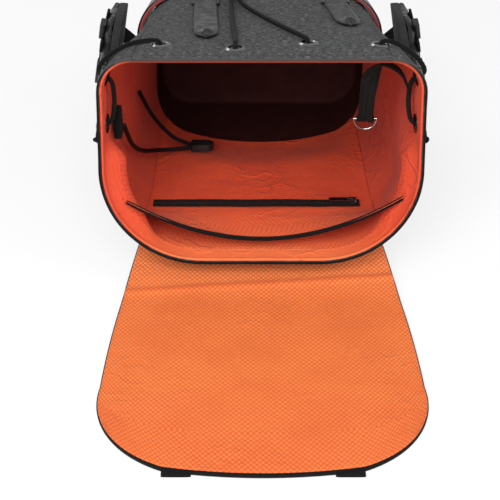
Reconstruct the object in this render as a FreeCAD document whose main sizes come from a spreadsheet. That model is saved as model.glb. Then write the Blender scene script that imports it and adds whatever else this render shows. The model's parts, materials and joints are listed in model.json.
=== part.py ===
"""A hiking backpack lying on its back, with its lid thrown open and its mouth facing -Y.

The frame: +Y runs along the back from the mouth to the base, +Z points up off the ground
through the front panel, and the origin is on the ground under the middle of the back pads.
Distances called "deep" are measured along +Y from the lower lip of the mouth.
Lengths are millimetres.
"""
import FreeCAD, Part
import math
import os
import Sketcher

Vector = FreeCAD.Vector
doc = FreeCAD.newDocument("Backpack")
sheet = doc.addObject("Spreadsheet::Sheet", "Sizes")

DRIVING = {
    # where the lower lip of the mouth lies along Y
    "mouth_y": -250,
    # walls of the bag, from outside to inside
    "wall": 3, "wall_gap": 0.3, "lining_wall": 1.2,
    # cross-sections of the bag: depth, half width, lowest and highest z, corner radii
    "lip_deep": -12, "lip_half": 163, "lip_low": 31, "lip_high": 243, "lip_top_r": 32, "lip_low_r": 105,
    "collar_deep": 100, "collar_half": 154, "collar_low": 24, "collar_high": 235,
    "collar_top_r": 40, "collar_low_r": 80,
    "waist_deep": 220, "waist_half": 141, "waist_low": 17, "waist_high": 213,
    "waist_top_r": 48, "waist_low_r": 57,
    "deep_deep": 330, "deep_half": 132, "deep_low": 15, "deep_high": 196,
    "deep_top_r": 48, "deep_low_r": 45,
    "tail_deep": 410, "tail_half": 124, "tail_low": 16, "tail_high": 181,
    "tail_top_r": 45, "tail_low_r": 42,
    "mouth_lean": 8.2,
    "base_plate": 10, "base_edge_r": 8,
    # seams between the panels
    "front_seam_mouth": 128, "front_seam_base": 112, "back_seam_mouth": 96, "back_seam_base": 84,
    # padding under the back
    "pad_start": 140, "pad_end": 405, "pad_width": 82, "pad_gap": 34, "pad_foot_r": 10,
    "frame_board": 1.6, "lumbar_start": 330,
    # the lid
    "lid_seam": 88, "lid_crease": -20, "lid_fold": -272, "lid_slab": 5, "lid_lining": 1.2,
    "lid_root_z": 17, "lid_floor_gap": 0.4,
    # eyelets and cord
    "eyelet_outer_r": 10.4, "eyelet_bore_r": 6.2, "eyelet_rim": 1.3, "cord_diameter": 4.8,
    # leather straps on the front, and their snaps
    "strap_width": 25, "strap_thick": 2.6, "snap_r": 8.5, "snap_dome": 4.5,
    # shoulder straps
    "shoulder_thick": 13, "wing_thick": 8,
    # sleeve and its zip
    "sleeve_wall": 2, "zip_y_deep": 95, "zip_left": -115, "zip_right": 106,
    "zip_width": 14, "zip_thick": 1.4,
    # moulded ladder locks
    "buckle_long": 30, "buckle_wide": 30, "buckle_thick": 5, "buckle_slot": 4.2, "buckle_slot_at": 7,
    "buckle_frame": 3,
    # webbing tabs under the lid's front edge
    "tab_wide": 26, "tab_long": 23, "tab_thick": 2.4, "tab_apart": 75, "tab_edge": 3,
    # the dark cloth at the bottom of the bag
    "dark_centre": 445, "dark_r": 155,
}
for row, (alias, number) in enumerate(DRIVING.items(), start=1):
    sheet.set(f"A{row}", alias)
    sheet.set(f"B{row}", str(number))
    sheet.setAlias(f"B{row}", alias)
doc.recompute()

parts = []
groups = {}


def size(alias):
    """Read one driving dimension from the sheet."""
    return float(getattr(sheet, alias))


def along(deep):
    """Give the Y of a place so deep inside the mouth."""
    return size("mouth_y") + deep


def place(x, deep, z):
    """Give the point at x, so deep behind the lower lip, and z off the ground."""
    return Vector(x, along(deep), z)


def bind(thing, **formulas):
    """Bind properties of a document object to formulas on the sheet."""
    for name, formula in formulas.items():
        thing.setExpression(name.replace("__", "."), formula)
    return thing


def cell(formula):
    """Write a formula whose words are aliases of the sheet."""
    words = formula.replace("(", "( ").replace(")", " )").split()
    return " ".join(f"Sizes.{word}" if word in DRIVING else word for word in words)


def keep(label, thing):
    """Name a sub-part and put it on the list of what is written out."""
    thing.Label = label
    parts.append(thing)
    return thing


def solid(label, shape):
    """Keep a sub-part made with Part's own functions."""
    thing = doc.addObject("Part::Feature", label)
    thing.Shape = shape
    return keep(label, thing)


def grouped(label, shape):
    """Collect one of several like pieces that share a sub-part."""
    groups.setdefault(label, []).append(shape)
    return shape


def block(name, x_size, y_size, z_size, corner):
    """Add a box whose three sizes and corner are formulas on the sheet."""
    thing = doc.addObject("Part::Box", name)
    bind(thing, Length=cell(x_size), Width=cell(y_size), Height=cell(z_size))
    bind(thing, **{f"Placement__Base__{axis}": cell(formula) for axis, formula in zip("xyz", corner)})
    return thing


def boolean(kind, name, base, tool):
    """Add a Part::Cut or Part::Common of two document objects."""
    thing = doc.addObject(kind, name)
    thing.Base, thing.Tool = base, tool
    return thing


def fuse(name, things):
    """Join several document objects."""
    thing = doc.addObject("Part::MultiFuse", name)
    thing.Shapes = things
    return thing


def dimension(alias, offset=0.0):
    """Give a sketch size and the formula that drives it: one alias of the sheet and an offset."""
    return size(alias) + offset, f"Sizes.{alias} + ({offset})"


def half_of(alias, offset=0.0, side=1):
    """Give half a driven size, on one side of the middle, with an offset."""
    return side * (size(alias) / 2 + offset), f"{side} * (Sizes.{alias} / 2 + ({offset}))"


def box_corners(left, right, low, high):
    """List the four corners of an upright rectangle between driven sizes."""
    return [(left, low), (right, low), (right, high), (left, high)]


def body_sketch(body, name, role):
    """Start a sketch on one of a body's own origin planes."""
    sketch = body.newObject("Sketcher::SketchObject", name)
    plane = next(feature for feature in body.Origin.OriginFeatures if feature.Role == role)
    sketch.AttachmentSupport = [(plane, "")]
    sketch.MapMode = "FlatFace"
    return sketch


def pin_corner(sketch, index, axis, measure):
    """Hold one corner of a sketch at a driven distance from the sketch's origin."""
    number, formula = measure
    if abs(number) < 1e-9:
        sketch.addConstraint(Sketcher.Constraint("PointOnObject", index, 1, -2 if axis == "X" else -1))
        return
    row = sketch.addConstraint(Sketcher.Constraint(f"Distance{axis}", -1, 1, index, 1, number))
    sketch.setExpression(f"Constraints[{row}]", formula)


def closed_sketch(sketch, corners):
    """Draw a closed outline whose corners are pairs of driven sizes."""
    first = len(sketch.Geometry)
    points = [Vector(across[0], up[0], 0) for across, up in corners]
    for start, end in zip(points, points[1:] + points[:1]):
        sketch.addGeometry(Part.LineSegment(start, end), False)
    for index, (across, up) in enumerate(corners):
        following = first + (index + 1) % len(corners)
        sketch.addConstraint(Sketcher.Constraint("Coincident", first + index, 2, following, 1))
        pin_corner(sketch, first + index, "X", across)
        pin_corner(sketch, first + index, "Y", up)


def turned_body(name, corners):
    """Revolve a profile of (radius, height) sizes about Z in a body of its own."""
    body = doc.addObject("PartDesign::Body", name)
    sketch = body_sketch(body, f"{name}_profile", "XZ_Plane")
    closed_sketch(sketch, corners)
    turn = body.newObject("PartDesign::Revolution", f"{name}_turn")
    turn.Profile = sketch
    turn.ReferenceAxis = (sketch, ["V_Axis"])
    turn.Angle = 360
    doc.recompute()
    return body


def padded_body(name, corners, thick, pockets=(), rounding=0.0):
    """Pad an outline upwards, cut pockets through it and round its upright edges."""
    body = doc.addObject("PartDesign::Body", name)
    sketch = body_sketch(body, f"{name}_outline", "XY_Plane")
    closed_sketch(sketch, corners)
    pad = body.newObject("PartDesign::Pad", f"{name}_pad")
    pad.Profile = sketch
    pad.setExpression("Length", f"Sizes.{thick}")
    doc.recompute()
    if rounding:
        upright = [f"Edge{number}" for number, edge in enumerate(pad.Shape.Edges, start=1)
                   if abs(edge.BoundBox.ZLength - size(thick)) < 1e-6]
        rounded = body.newObject("PartDesign::Fillet", f"{name}_corners")
        rounded.Base = (pad, upright)
        rounded.Radius = rounding
        doc.recompute()
    for number, slot_corners in enumerate(pockets, start=1):
        slot_sketch = body_sketch(body, f"{name}_slot_{number}", "XY_Plane")
        closed_sketch(slot_sketch, slot_corners)
        slot = body.newObject("PartDesign::Pocket", f"{name}_pocket_{number}")
        slot.Profile = slot_sketch
        slot.Type = "ThroughAll"
        slot.Midplane = True
        doc.recompute()
    return body


def placed_copy(body, origin, turn=None):
    """Give a body's shape, moved and turned into place."""
    shape = body.Shape.copy()
    shape.Placement = FreeCAD.Placement(origin, turn or FreeCAD.Rotation())
    return shape


# ---------------------------------------------------------------- cross-sections and shells
STATIONS = ["lip", "collar", "waist", "deep", "tail"]


def section(name, station, inset):
    """Sketch one rounded cross-section of the bag, moved inwards by inset."""
    sketch = doc.addObject("Sketcher::SketchObject", name)
    half = size(f"{station}_half") - inset
    low = size(f"{station}_low") + inset
    high = size(f"{station}_high") - inset
    top_r = size(f"{station}_top_r") - inset
    low_r = size(f"{station}_low_r") - inset
    corners = [(half - low_r, low + low_r, low_r, -90), (half - top_r, high - top_r, top_r, 0),
               (top_r - half, high - top_r, top_r, 90), (low_r - half, low + low_r, low_r, 180)]
    arcs, ends = [], []
    for x, z, radius, start in corners:
        circle = Part.Circle(Vector(x, z, 0), Vector(0, 0, 1), radius)
        arcs.append(Part.ArcOfCircle(circle, math.radians(start), math.radians(start + 90)))
        ends.append((arcs[-1].StartPoint, arcs[-1].EndPoint))
    for index, arc in enumerate(arcs):
        sketch.addGeometry(arc, False)
        sketch.addGeometry(Part.LineSegment(ends[index][1], ends[(index + 1) % 4][0]), False)
    for index in range(8):
        sketch.addConstraint(Sketcher.Constraint("Tangent", index, 2, (index + 1) % 8, 1))
    right_low, right_side, right_top, top, left_top, left_side, left_low, bottom = range(8)
    sketch.addConstraint(Sketcher.Constraint("Horizontal", bottom))
    sketch.addConstraint(Sketcher.Constraint("Vertical", right_side))
    sketch.addConstraint(Sketcher.Constraint("Vertical", left_side))
    sketch.addConstraint(Sketcher.Constraint("Symmetric", top, 1, top, 2, -2))
    sketch.addConstraint(Sketcher.Constraint("Equal", right_top, left_top))
    sketch.addConstraint(Sketcher.Constraint("Equal", right_low, left_low))
    driven = {"half": ("DistanceX", right_side, half), "high": ("DistanceY", top, high),
              "low": ("DistanceY", bottom, low), "top_r": ("Radius", right_top, top_r),
              "low_r": ("Radius", right_low, low_r)}
    inward = {"half": -1, "high": -1, "low": 1, "top_r": -1, "low_r": -1}
    for word, (kind, index, number) in driven.items():
        if kind == "Radius":
            constraint = Sketcher.Constraint(kind, index, number)
        else:
            constraint = Sketcher.Constraint(kind, -1, 1, index, 1, number)
        row = sketch.addConstraint(constraint)
        sketch.setExpression(f"Constraints[{row}]",
                             f"Sizes.{station}_{word} + ({inward[word] * inset})")
    sketch.Placement = FreeCAD.Placement(place(0, size(f"{station}_deep"), 0),
                                         FreeCAD.Rotation(Vector(1, 0, 0), 90))
    sketch.setExpression("Placement.Base.y", f"Sizes.mouth_y + Sizes.{station}_deep")
    return sketch


def bag_loft(name, inset, stations=None):
    """Loft the whole bag, its surface moved inwards by inset."""
    thing = doc.addObject("Part::Loft", name)
    thing.Sections = [section(f"{name}_{station}", station, inset) for station in stations or STATIONS]
    thing.Solid = True
    thing.Ruled = False
    return thing


def mouth_cutter(name):
    """Make the leaning block that cuts the mouth's plane."""
    thing = block(name, "400", "120", "330", ("-200", "mouth_y - 120", "0"))
    lean = FreeCAD.Rotation(Vector(1, 0, 0), -size("mouth_lean"))
    lip = place(0, 0, size("lip_low"))
    thing.setExpression("Placement.Base.y", None)
    thing.setExpression("Placement.Base.z", None)
    thing.setExpression("Placement.Base.x", None)
    thing.Placement = FreeCAD.Placement(lip + lean.multVec(Vector(-200, -120, -60)), lean)
    return thing


def wedge(name, half_mouth, half_base, low, high):
    """Make a block that narrows from the mouth to the base."""
    thing = doc.addObject("Part::Wedge", name)
    bind(thing, Xmin=cell(f"-1 * {half_mouth}"), Xmax=cell(half_mouth),
         X2min=cell(f"-1 * {half_base}"), X2max=cell(half_base),
         Ymin=cell("mouth_y - 40"), Ymax=cell("mouth_y + 450"),
         Zmin=cell(low), Zmax=cell(high), Z2min=cell(low), Z2max=cell(high))
    return thing


WALL = size("wall")
LINING_OUT = WALL + size("wall_gap")
LINING_IN = LINING_OUT + size("lining_wall")

mouth_cut = mouth_cutter("mouth_cut")
outer = bag_loft("outer_skin", 0)
inner = bag_loft("inner_skin", WALL)
tube = boolean("Part::Cut", "tube", outer, inner)
shell = boolean("Part::Cut", "shell", tube, mouth_cut)
lining_outer = bag_loft("lining_outer", LINING_OUT)
lining_inner = bag_loft("lining_inner", LINING_IN)
lining_tube = boolean("Part::Cut", "lining_tube", lining_outer, lining_inner)
lining_all = boolean("Part::Cut", "lining_all", lining_tube, mouth_cut)
doc.recompute()


def bag_z(x, deep, inset=0.0, top=True):
    """Find how high the front (or back) surface of the bag is at a place."""
    skin = {0.0: outer, WALL: inner}.get(inset, lining_inner)
    line = Part.makeLine(place(x, deep, -50), place(x, deep, 400))
    heights = [vertex.Point.z for vertex in skin.Shape.common(line).Vertexes]
    return max(heights) if top else min(heights)


def bag_x(deep, z, side, inset=0.0):
    """Find how far out the side wall of the bag is at a place."""
    skin = {0.0: outer, WALL: inner}.get(inset, lining_inner)
    line = Part.makeLine(place(0, deep, z), place(side * 300, deep, z))
    return side * max(abs(vertex.Point.x) for vertex in skin.Shape.common(line).Vertexes)


# ---------------------------------------------------------------- eyelets
FRONT_EYELETS = [(-100, 76), (-26, 62), (47, 81), (118, 76)]
SIDE_EYELETS = [(56, 214), (48, 166)]


def eyelet_seats():
    """List the middle of each eyelet on the outer surface and its outward direction."""
    seats = []
    for x, deep in FRONT_EYELETS:
        slope = (bag_z(x, deep + 8) - bag_z(x, deep - 8)) / 16
        across = (bag_z(x + 8, deep) - bag_z(x - 8, deep)) / 16
        seats.append((place(x, deep, bag_z(x, deep)), Vector(-across, -slope, 1).normalize()))
    for side in (-1, 1):
        for deep, z in SIDE_EYELETS:
            slope = (bag_x(deep + 8, z, side) - bag_x(deep - 8, z, side)) / 16
            rise = (bag_x(deep, z + 6, side) - bag_x(deep, z - 6, side)) / 12
            normal = Vector(1, -slope, -rise).normalize() * side
            seats.append((place(bag_x(deep, z, side), deep, z), normal))
    return seats


SEATS = eyelet_seats()
BORE = size("eyelet_bore_r")
THROUGH = LINING_IN
holes = Part.makeCompound([Part.makeCylinder(BORE + 1.3, 20, seat - normal * 10, normal)
                           for seat, normal in SEATS])
hole_tool = doc.addObject("Part::Feature", "eyelet_holes")
hole_tool.Shape = holes

# rolled brim outside, barrel through both cloths; the profile's corners are (radius, height)
eyelet = turned_body("eyelet", [
    (dimension("eyelet_bore_r"), dimension("wall", -THROUGH - size("wall"))),
    (dimension("eyelet_bore_r"), dimension("eyelet_rim", -0.7)),
    (dimension("eyelet_bore_r", 1.2), dimension("eyelet_rim", 0.5)),
    (dimension("eyelet_outer_r", -2), dimension("eyelet_rim", 0.5)),
    (dimension("eyelet_outer_r"), dimension("eyelet_rim", -1.1)),
    (dimension("eyelet_bore_r", 1), dimension("eyelet_rim", -1.1)),
    (dimension("eyelet_bore_r", 1), dimension("wall", -THROUGH - size("wall")))])
washer = turned_body("eyelet_washer", [
    (dimension("eyelet_bore_r", 1), dimension("wall", -THROUGH - size("wall") - 0.2)),
    (dimension("eyelet_outer_r", -0.6), dimension("wall", -THROUGH - size("wall") - 0.2)),
    (dimension("eyelet_outer_r", -0.6), dimension("wall", -THROUGH - size("wall") - 1)),
    (dimension("eyelet_bore_r"), dimension("wall", -THROUGH - size("wall") - 1.3)),
    (dimension("eyelet_bore_r"), dimension("wall", -THROUGH - size("wall") - 0.3))])


def seated(body):
    """Set a copy of a turned body on every eyelet seat."""
    return Part.makeCompound([placed_copy(body, seat, FreeCAD.Rotation(Vector(0, 0, 1), normal))
                              for seat, normal in SEATS])


solid("eyelets", seated(eyelet))
solid("eyelet_washers", seated(washer).cut(lining_all.Shape))

# ---------------------------------------------------------------- outer panels
punched = boolean("Part::Cut", "punched_shell", shell, hole_tool)
front_region = wedge("front_region", "front_seam_mouth", "front_seam_base", "110", "270")
back_region = wedge("back_region", "back_seam_mouth", "back_seam_base", "-20", "75")
keep("front_panel", boolean("Part::Common", "front_cloth", punched, front_region))
keep("back_panel", boolean("Part::Common", "back_cloth", punched, back_region))
middle_regions = fuse("middle_regions", [front_region, back_region])
sides = boolean("Part::Cut", "side_cloths", punched, middle_regions)
for name, corner_x in (("left", "-250"), ("right", "0")):
    half_space = block(f"{name}_half", "250", "520", "300", (corner_x, "mouth_y - 50", "-20"))
    keep(f"side_panel_{name}", boolean("Part::Common", f"{name}_cloth", sides, half_space))

base_sketch = section("base_outline", "tail", 0)
base_slab = doc.addObject("Part::Extrusion", "base_slab")
base_slab.Base = base_sketch
base_slab.Dir = Vector(0, 1, 0)
base_slab.Solid = True
base_slab.setExpression("LengthFwd", "Sizes.base_plate")
doc.recompute()
base_round = doc.addObject("Part::Fillet", "base_round")
base_round.Base = base_slab
last_y = along(size("tail_deep")) + size("base_plate")
base_round.Edges = [(number, size("base_edge_r"), size("base_edge_r"))
                    for number, edge in enumerate(base_slab.Shape.Edges, start=1)
                    if all(abs(vertex.Point.y - last_y) < 0.01 for vertex in edge.Vertexes)]
keep("base_panel", base_round)

# ---------------------------------------------------------------- lining
lining_punched = boolean("Part::Cut", "lining_punched", lining_all, hole_tool)
dark_end = doc.addObject("Part::Cylinder", "dark_end")
dark_end.Placement = FreeCAD.Placement(place(0, size("dark_centre"), -20), FreeCAD.Rotation())
bind(dark_end, Placement__Base__y=cell("mouth_y + dark_centre"), Radius=cell("dark_r"), Height="300")
keep("lining", boolean("Part::Cut", "light_lining", lining_punched, dark_end))
keep("lower_lining", boolean("Part::Common", "dark_lining", lining_all, dark_end))
board_sketch = section("board_outline", "tail", LINING_IN + 2)
board = doc.addObject("Part::Extrusion", "board")
board.Base = board_sketch
board.Dir = Vector(0, -1, 0)
board.Solid = True
bind(board, LengthFwd="2")
keep("base_board", board)
doc.recompute()


# ---------------------------------------------------------------- shapes from flat outlines
def unit(vector):
    """Give the direction of a vector."""
    return Vector(vector).normalize()


def corner_arc(before, corner, after, radius):
    """Round one corner of a route: where the arc starts, its middle and where it ends."""
    inward, outward = unit(before - corner), unit(after - corner)
    half_turn = (math.pi - inward.getAngle(outward)) / 2
    reach = radius * math.tan(half_turn)
    middle = unit(inward + outward) * (radius / math.cos(half_turn) - radius)
    return corner + inward * reach, corner + middle, corner + outward * reach


def outline(points):
    """Make a closed flat outline from (u, v, corner radius) points in the XY plane."""
    edges, arcs = [], []
    for index, (u, v, radius) in enumerate(points):
        before, after = points[index - 1], points[(index + 1) % len(points)]
        corner = Vector(u, v, 0)
        if radius:
            arcs.append(corner_arc(Vector(before[0], before[1], 0), corner,
                                   Vector(after[0], after[1], 0), radius))
        else:
            arcs.append((corner, None, corner))
    for index, (start, middle, end) in enumerate(arcs):
        if middle is not None:
            edges.append(Part.Arc(start, middle, end).toShape())
        following = arcs[(index + 1) % len(arcs)][0]
        if (following - end).Length > 0.01:
            edges.append(Part.LineSegment(end, following).toShape())
    return Part.Face(Part.Wire(edges))


def slab(points, thickness, origin=Vector(), turn=None):
    """Extrude a rounded outline, then turn it and move it into place."""
    shape = outline(points).extrude(Vector(0, 0, thickness))
    shape.Placement = FreeCAD.Placement(origin, turn or FreeCAD.Rotation())
    return shape


def mirrored(points, side):
    """Mirror an outline's first coordinate for the left side."""
    return [(side * u, v, radius) for u, v, radius in points]


UPRIGHT_YZ = FreeCAD.Rotation(Vector(0, 1, 0), Vector(0, 0, 1), Vector(1, 0, 0), "XYZ")
UPRIGHT_XZ = FreeCAD.Rotation(Vector(1, 0, 0), Vector(0, 0, 1), Vector(0, -1, 0), "XYZ")

# ---------------------------------------------------------------- back board and pads
board_out = bag_loft("board_out", -size("frame_board") - 0.3)
board_in = bag_loft("board_in", -0.3)
board_ring = boolean("Part::Cut", "board_ring", board_out, board_in)
board_box = block("board_box", "164", "pad_end - 100", "24", ("-82", "mouth_y + 100", "8"))
keep("frame_board", boolean("Part::Common", "frame_sheet", board_ring, board_box))
pad_relief = bag_loft("pad_relief", -size("frame_board") - 0.6)
doc.recompute()
PAD_R = size("pad_foot_r")
PAD_OUTLINES = {
    "spine_pad": [(-30, 142, PAD_R), (30, 142, PAD_R), (30, 318, PAD_R), (-30, 318, PAD_R)],
    "back_pad_left": [(-38, 158, PAD_R), (-38, 318, PAD_R), (-98, 318, PAD_R), (-98, 212, PAD_R)],
    "back_pad_right": [(38, 158, PAD_R), (98, 212, PAD_R), (98, 318, PAD_R), (38, 318, PAD_R)],
    "lumbar_pad": [(-102, 328, 24), (102, 328, 24), (92, 402, 24), (-92, 402, 24)],
}
for label, points in PAD_OUTLINES.items():
    pad = slab(points, 32, place(0, 0, 0))
    pad = pad.cut(pad_relief.Shape)
    low = [piece for piece in pad.Solids if piece.BoundBox.ZMin < 1]
    foot = [edge for edge in low[0].Edges if edge.BoundBox.ZMax < 0.1]
    footed = low[0].makeFillet(5, foot)
    if label == "lumbar_pad":
        solid(label, footed)
    else:
        grouped("back_pads", footed)

# ---------------------------------------------------------------- lid
LID_SIDE = [(127, 75), (144, -60), (150.5, -178)]
LID_CORNER = [(150.5, -178), (137, -249), (88, -294)]
LID_FRONT = [(88, -294), (0, -303), (-88, -294)]


def lid_face():
    """Draw the lid's outline, three arcs each side of the middle."""
    edges = []
    for points in (LID_SIDE, LID_CORNER, LID_FRONT):
        edges.append(Part.Arc(*[place(x, deep, 0) for x, deep in points]).toShape())
    for points in (LID_CORNER, LID_SIDE):
        edges.append(Part.Arc(*[place(-x, deep, 0) for x, deep in reversed(points)]).toShape())
    edges.append(Part.LineSegment(place(-127, 75, 0), place(-122, 98, 0)).toShape())
    edges.append(Part.LineSegment(place(-122, 98, 0), place(122, 98, 0)).toShape())
    edges.append(Part.LineSegment(place(122, 98, 0), place(127, 75, 0)).toShape())
    return Part.Face(Part.Wire(edges))


def strip(start, end, low=-1, high=60):
    """Make a block across the whole bag between two depths."""
    return Part.makeBox(420, end - start, high - low, place(-210, start, low))


LID_EDGE = 3.5
GAP = size("lid_floor_gap")
SLAB = size("lid_slab")
CREASE, FOLD = size("lid_crease"), size("lid_fold")
HINGE_GAP = 0.4
lid_outline = lid_face()
lid_inset = lid_outline.makeOffset2D(-LID_EDGE)
tab_body = padded_body("lid_tab", box_corners(half_of("tab_wide", 0, -1), half_of("tab_wide"),
                                              dimension("tab_long", -size("tab_long")), dimension("tab_long")),
                       "tab_thick", rounding=size("tab_edge"))
TAB_TIP = -301
TABS = Part.makeCompound([placed_copy(tab_body, place(side * size("tab_apart"), TAB_TIP, GAP))
                          for side in (-1, 1)])


def lid_layer(face, low, thickness, start, end):
    """Cut one layer of the lid between two depths."""
    layer = face.extrude(Vector(0, 0, thickness)).translated(Vector(0, 0, low))
    return layer.common(strip(start, end)).cut(TABS)


SPANS = {"lid": (FOLD + HINGE_GAP / 2, CREASE - HINGE_GAP), "lid_front": (-320, FOLD - HINGE_GAP / 2)}
for label, (start, end) in SPANS.items():
    solid(f"{label}_shell", lid_layer(lid_inset, GAP, SLAB, start, end))
    solid(f"{label}_lining", lid_layer(lid_inset, GAP + SLAB, size("lid_lining"), start, end))
    rim = lid_layer(lid_outline, GAP, SLAB + size("lid_lining"), start, end)
    solid(f"{label}_binding", rim.cut(lid_inset.extrude(Vector(0, 0, 40)).translated(Vector(0, 0, -5))))
solid("lid_tabs", TABS)

ROOT_PROFILE = [(98, 23.0, 0), (60, 18.6, 30), (CREASE, GAP + SLAB, 0), (CREASE, GAP, 0), (60, 13.6, 30),
                (98, 18.0, 0)]
root = slab(ROOT_PROFILE, 420, place(-210, 0, 0), UPRIGHT_YZ)
clear_of_bag = bag_loft("clear_of_bag", -0.4)
doc.recompute()
root = root.common(lid_outline.extrude(Vector(0, 0, 60)))
solid("lid_root", root.cut(clear_of_bag.Shape))

# ---------------------------------------------------------------- leather straps on the front
STRAP_W, STRAP_T = size("strap_width"), size("strap_thick")
STRAPS = {"left": (-61, 262, -55.5, 98), "right": (84, 268, 95, 155)}
SNAP_FROM_END = 17


def riding_height(x, deep):
    """Give the height of a strap's underside at a place on the front."""
    return max(bag_z(x + step, deep) for step in (-10, 0, 10)) + 1.2


def leather_strap(side):
    """Make a flat strap that follows the front from its seam to its rounded end."""
    root_x, root_deep, end_x, end_deep = STRAPS[side]
    top, under = [], []
    stations = 6
    for step in range(stations):
        share = step / (stations - 1)
        deep = root_deep + (end_deep - root_deep) * share
        height = riding_height(root_x + (end_x - root_x) * share, deep)
        under.append((deep, height, 60 if 0 < step < stations - 1 else 0))
        top.append((deep, height + STRAP_T, 60 if 0 < step < stations - 1 else 0))
    side_view = slab(under + top[::-1], 140, place(-70, 0, 0), UPRIGHT_YZ)
    run = math.hypot(root_x - end_x, root_deep - end_deep)
    half = STRAP_W / 2
    plan = slab([(-half, 0, 1), (half, 0, 1), (half, -run, half - 0.2), (-half, -run, half - 0.2)], 300)
    turn = math.degrees(math.atan2(end_x - root_x, root_deep - end_deep))
    plan.Placement = FreeCAD.Placement(place(root_x, root_deep, 0), FreeCAD.Rotation(Vector(0, 0, 1), turn))
    side_view.translate(Vector(root_x, 0, 0))
    return side_view.common(plan), turn


SNAP_R, SNAP_DOME = size("snap_r"), size("snap_dome")
patch_out, patch_in = bag_loft("patch_skin_out", -3.4), bag_loft("patch_skin_in", -0.4)
patch_skin = boolean("Part::Cut", "patch_skin", patch_out, patch_in)
doc.recompute()
for side, (root_x, root_deep, end_x, end_deep) in STRAPS.items():
    strap, turn = leather_strap(side)
    direction = FreeCAD.Rotation(Vector(0, 0, 1), turn).multVec(Vector(0, 1, 0))
    seat = place(end_x, end_deep, 0) + direction * SNAP_FROM_END
    deep = seat.y - size("mouth_y")
    seat.z = riding_height(end_x, deep) + STRAP_T
    slope = (riding_height(end_x, deep + 10) - riding_height(end_x, deep - 10)) / 20
    normal = Vector(0, -slope, 1).normalize()
    crown = Part.makeSphere(SNAP_R * 1.15, seat - normal * (SNAP_R * 1.15 - SNAP_DOME), normal)
    cap = crown.common(Part.makeCylinder(SNAP_R, SNAP_DOME + 1, seat - normal * 0.5, normal))
    foot = Part.makeCylinder(SNAP_R - 3, STRAP_T + 1.2, seat - normal * (STRAP_T + 0.7), normal)
    strap = strap.cut(cap).cut(foot)
    solid(f"front_strap_{side}", strap)
    solid(f"strap_snap_{side}", cap.fuse(foot.common(Part.makeCylinder(
        SNAP_R, STRAP_T + 1.0, seat - normal * (STRAP_T + 0.6), normal))))
    patch = slab([(-16, 2, 3), (16, 2, 3), (16, 22, 3), (-16, 22, 3)], 90, place(root_x, root_deep, 170))
    patch_cloth = patch.common(patch_skin.Shape)
    grouped("strap_patches", patch_cloth)


# ---------------------------------------------------------------- drawcord and its lock
CORD_R = size("cord_diameter") / 2
DRAWCORD_LEFT = [
    (-37, 374, 195.2), (-35.5, 356, 196.8), (-33.5, 338, 201), (-33, 319, 206), (-33, 282, 211.5),
    (-32.5, 252, 211.9), (-31.5, 215, 217), (-30, 172, 224.9), (-28.5, 130, 232.8), (-27, 100, 238.4),
    (-26, 80, 242.4), (-26, 62.7, 245.2), (-26, 60.8, 232), (-42, 59, 230.6), (-62, 63, 230),
    (-84, 71, 229.4), (-100, 74.7, 230.2), (-100, 76.7, 243.4), (-114, 77.5, 243), (-130, 75, 241),
    (-143, 70.5, 236), (-156.2, 65.4, 228.4), (-164, 57.2, 216.6), (-148.6, 55.4, 211.6), (-146.5, 53, 197),
    (-146.5, 50.5, 182), (-150.2, 47.3, 166), (-163.6, 48.4, 166), (-164.8, 47.5, 150)]
DRAWCORD_RIGHT = [
    (-23, 374, 195.2), (-24.5, 356, 196.8), (-26.5, 338, 201), (-27, 319, 206), (-27, 282, 211.5),
    (-20, 254, 212), (-4.5, 215, 217.2), (12, 172, 225), (27, 132, 232.8), (40, 100, 239.2),
    (47, 81.7, 242.6), (47, 79.7, 229.4), (62, 77, 228.6), (82, 73.5, 228), (102, 73, 228.8),
    (118, 74.7, 230.2), (118, 76.7, 243.4), (132, 76, 242), (145, 71, 236), (156.6, 65.4, 228.2),
    (164, 57.2, 216.6), (148.6, 55.4, 211.6), (146.5, 53, 197), (146.5, 50.5, 182),
    (150.2, 47.3, 166), (163.6, 48.4, 166), (164.8, 47.5, 150)]
LEASH_NEAR = [(-141, 84, 146), (-139, 112, 114), (-135, 146, 87), (-128, 182, 66), (-116, 214, 51),
              (-98, 232, 43), (-80, 240, 41.5)]
LEASH_FAR = [(-80, 247, 41.8), (-96, 247, 47), (-108, 240, 62), (-119, 229, 82), (-128, 217, 105),
             (-134, 205, 128)]
ARC_SHARE = 0.45


def cord_path(route):
    """Join a cord's straight runs with arcs as large as the two runs allow."""
    points = [place(*point) for point in route]
    edges, radii, last = [], [], points[0]
    for before, corner, after in zip(points, points[1:], points[2:]):
        turn = math.pi - (before - corner).getAngle(after - corner)
        shorter = min((before - corner).Length, (after - corner).Length)
        radius = ARC_SHARE * shorter / math.tan(turn / 2)
        radii.append(radius)
        start, middle, end = corner_arc(before, corner, after, radius)
        edges += [Part.LineSegment(last, start).toShape(), Part.Arc(start, middle, end).toShape()]
        last = end
    edges.append(Part.LineSegment(last, points[-1]).toShape())
    return Part.Wire(edges), radii


def round_rod(path, radius):
    """Make a round rod of cylinders on the straight runs and turned elbows on the arcs."""
    rods = []
    for edge in path.OrderedEdges:
        start = edge.firstVertex(True).Point
        way = edge.tangentAt(edge.FirstParameter)
        disc = Part.Face(Part.Wire(Part.makeCircle(radius, start, way)))
        if isinstance(edge.Curve, Part.Line):
            rods.append(disc.extrude(edge.lastVertex(True).Point - start))
        else:
            turn = math.degrees(edge.Length / edge.Curve.Radius)
            rods.append(disc.revolve(edge.Curve.Center, edge.Curve.Axis, turn))
    return rods[0].multiFuse(rods[1:]).Solids[0]


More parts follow.
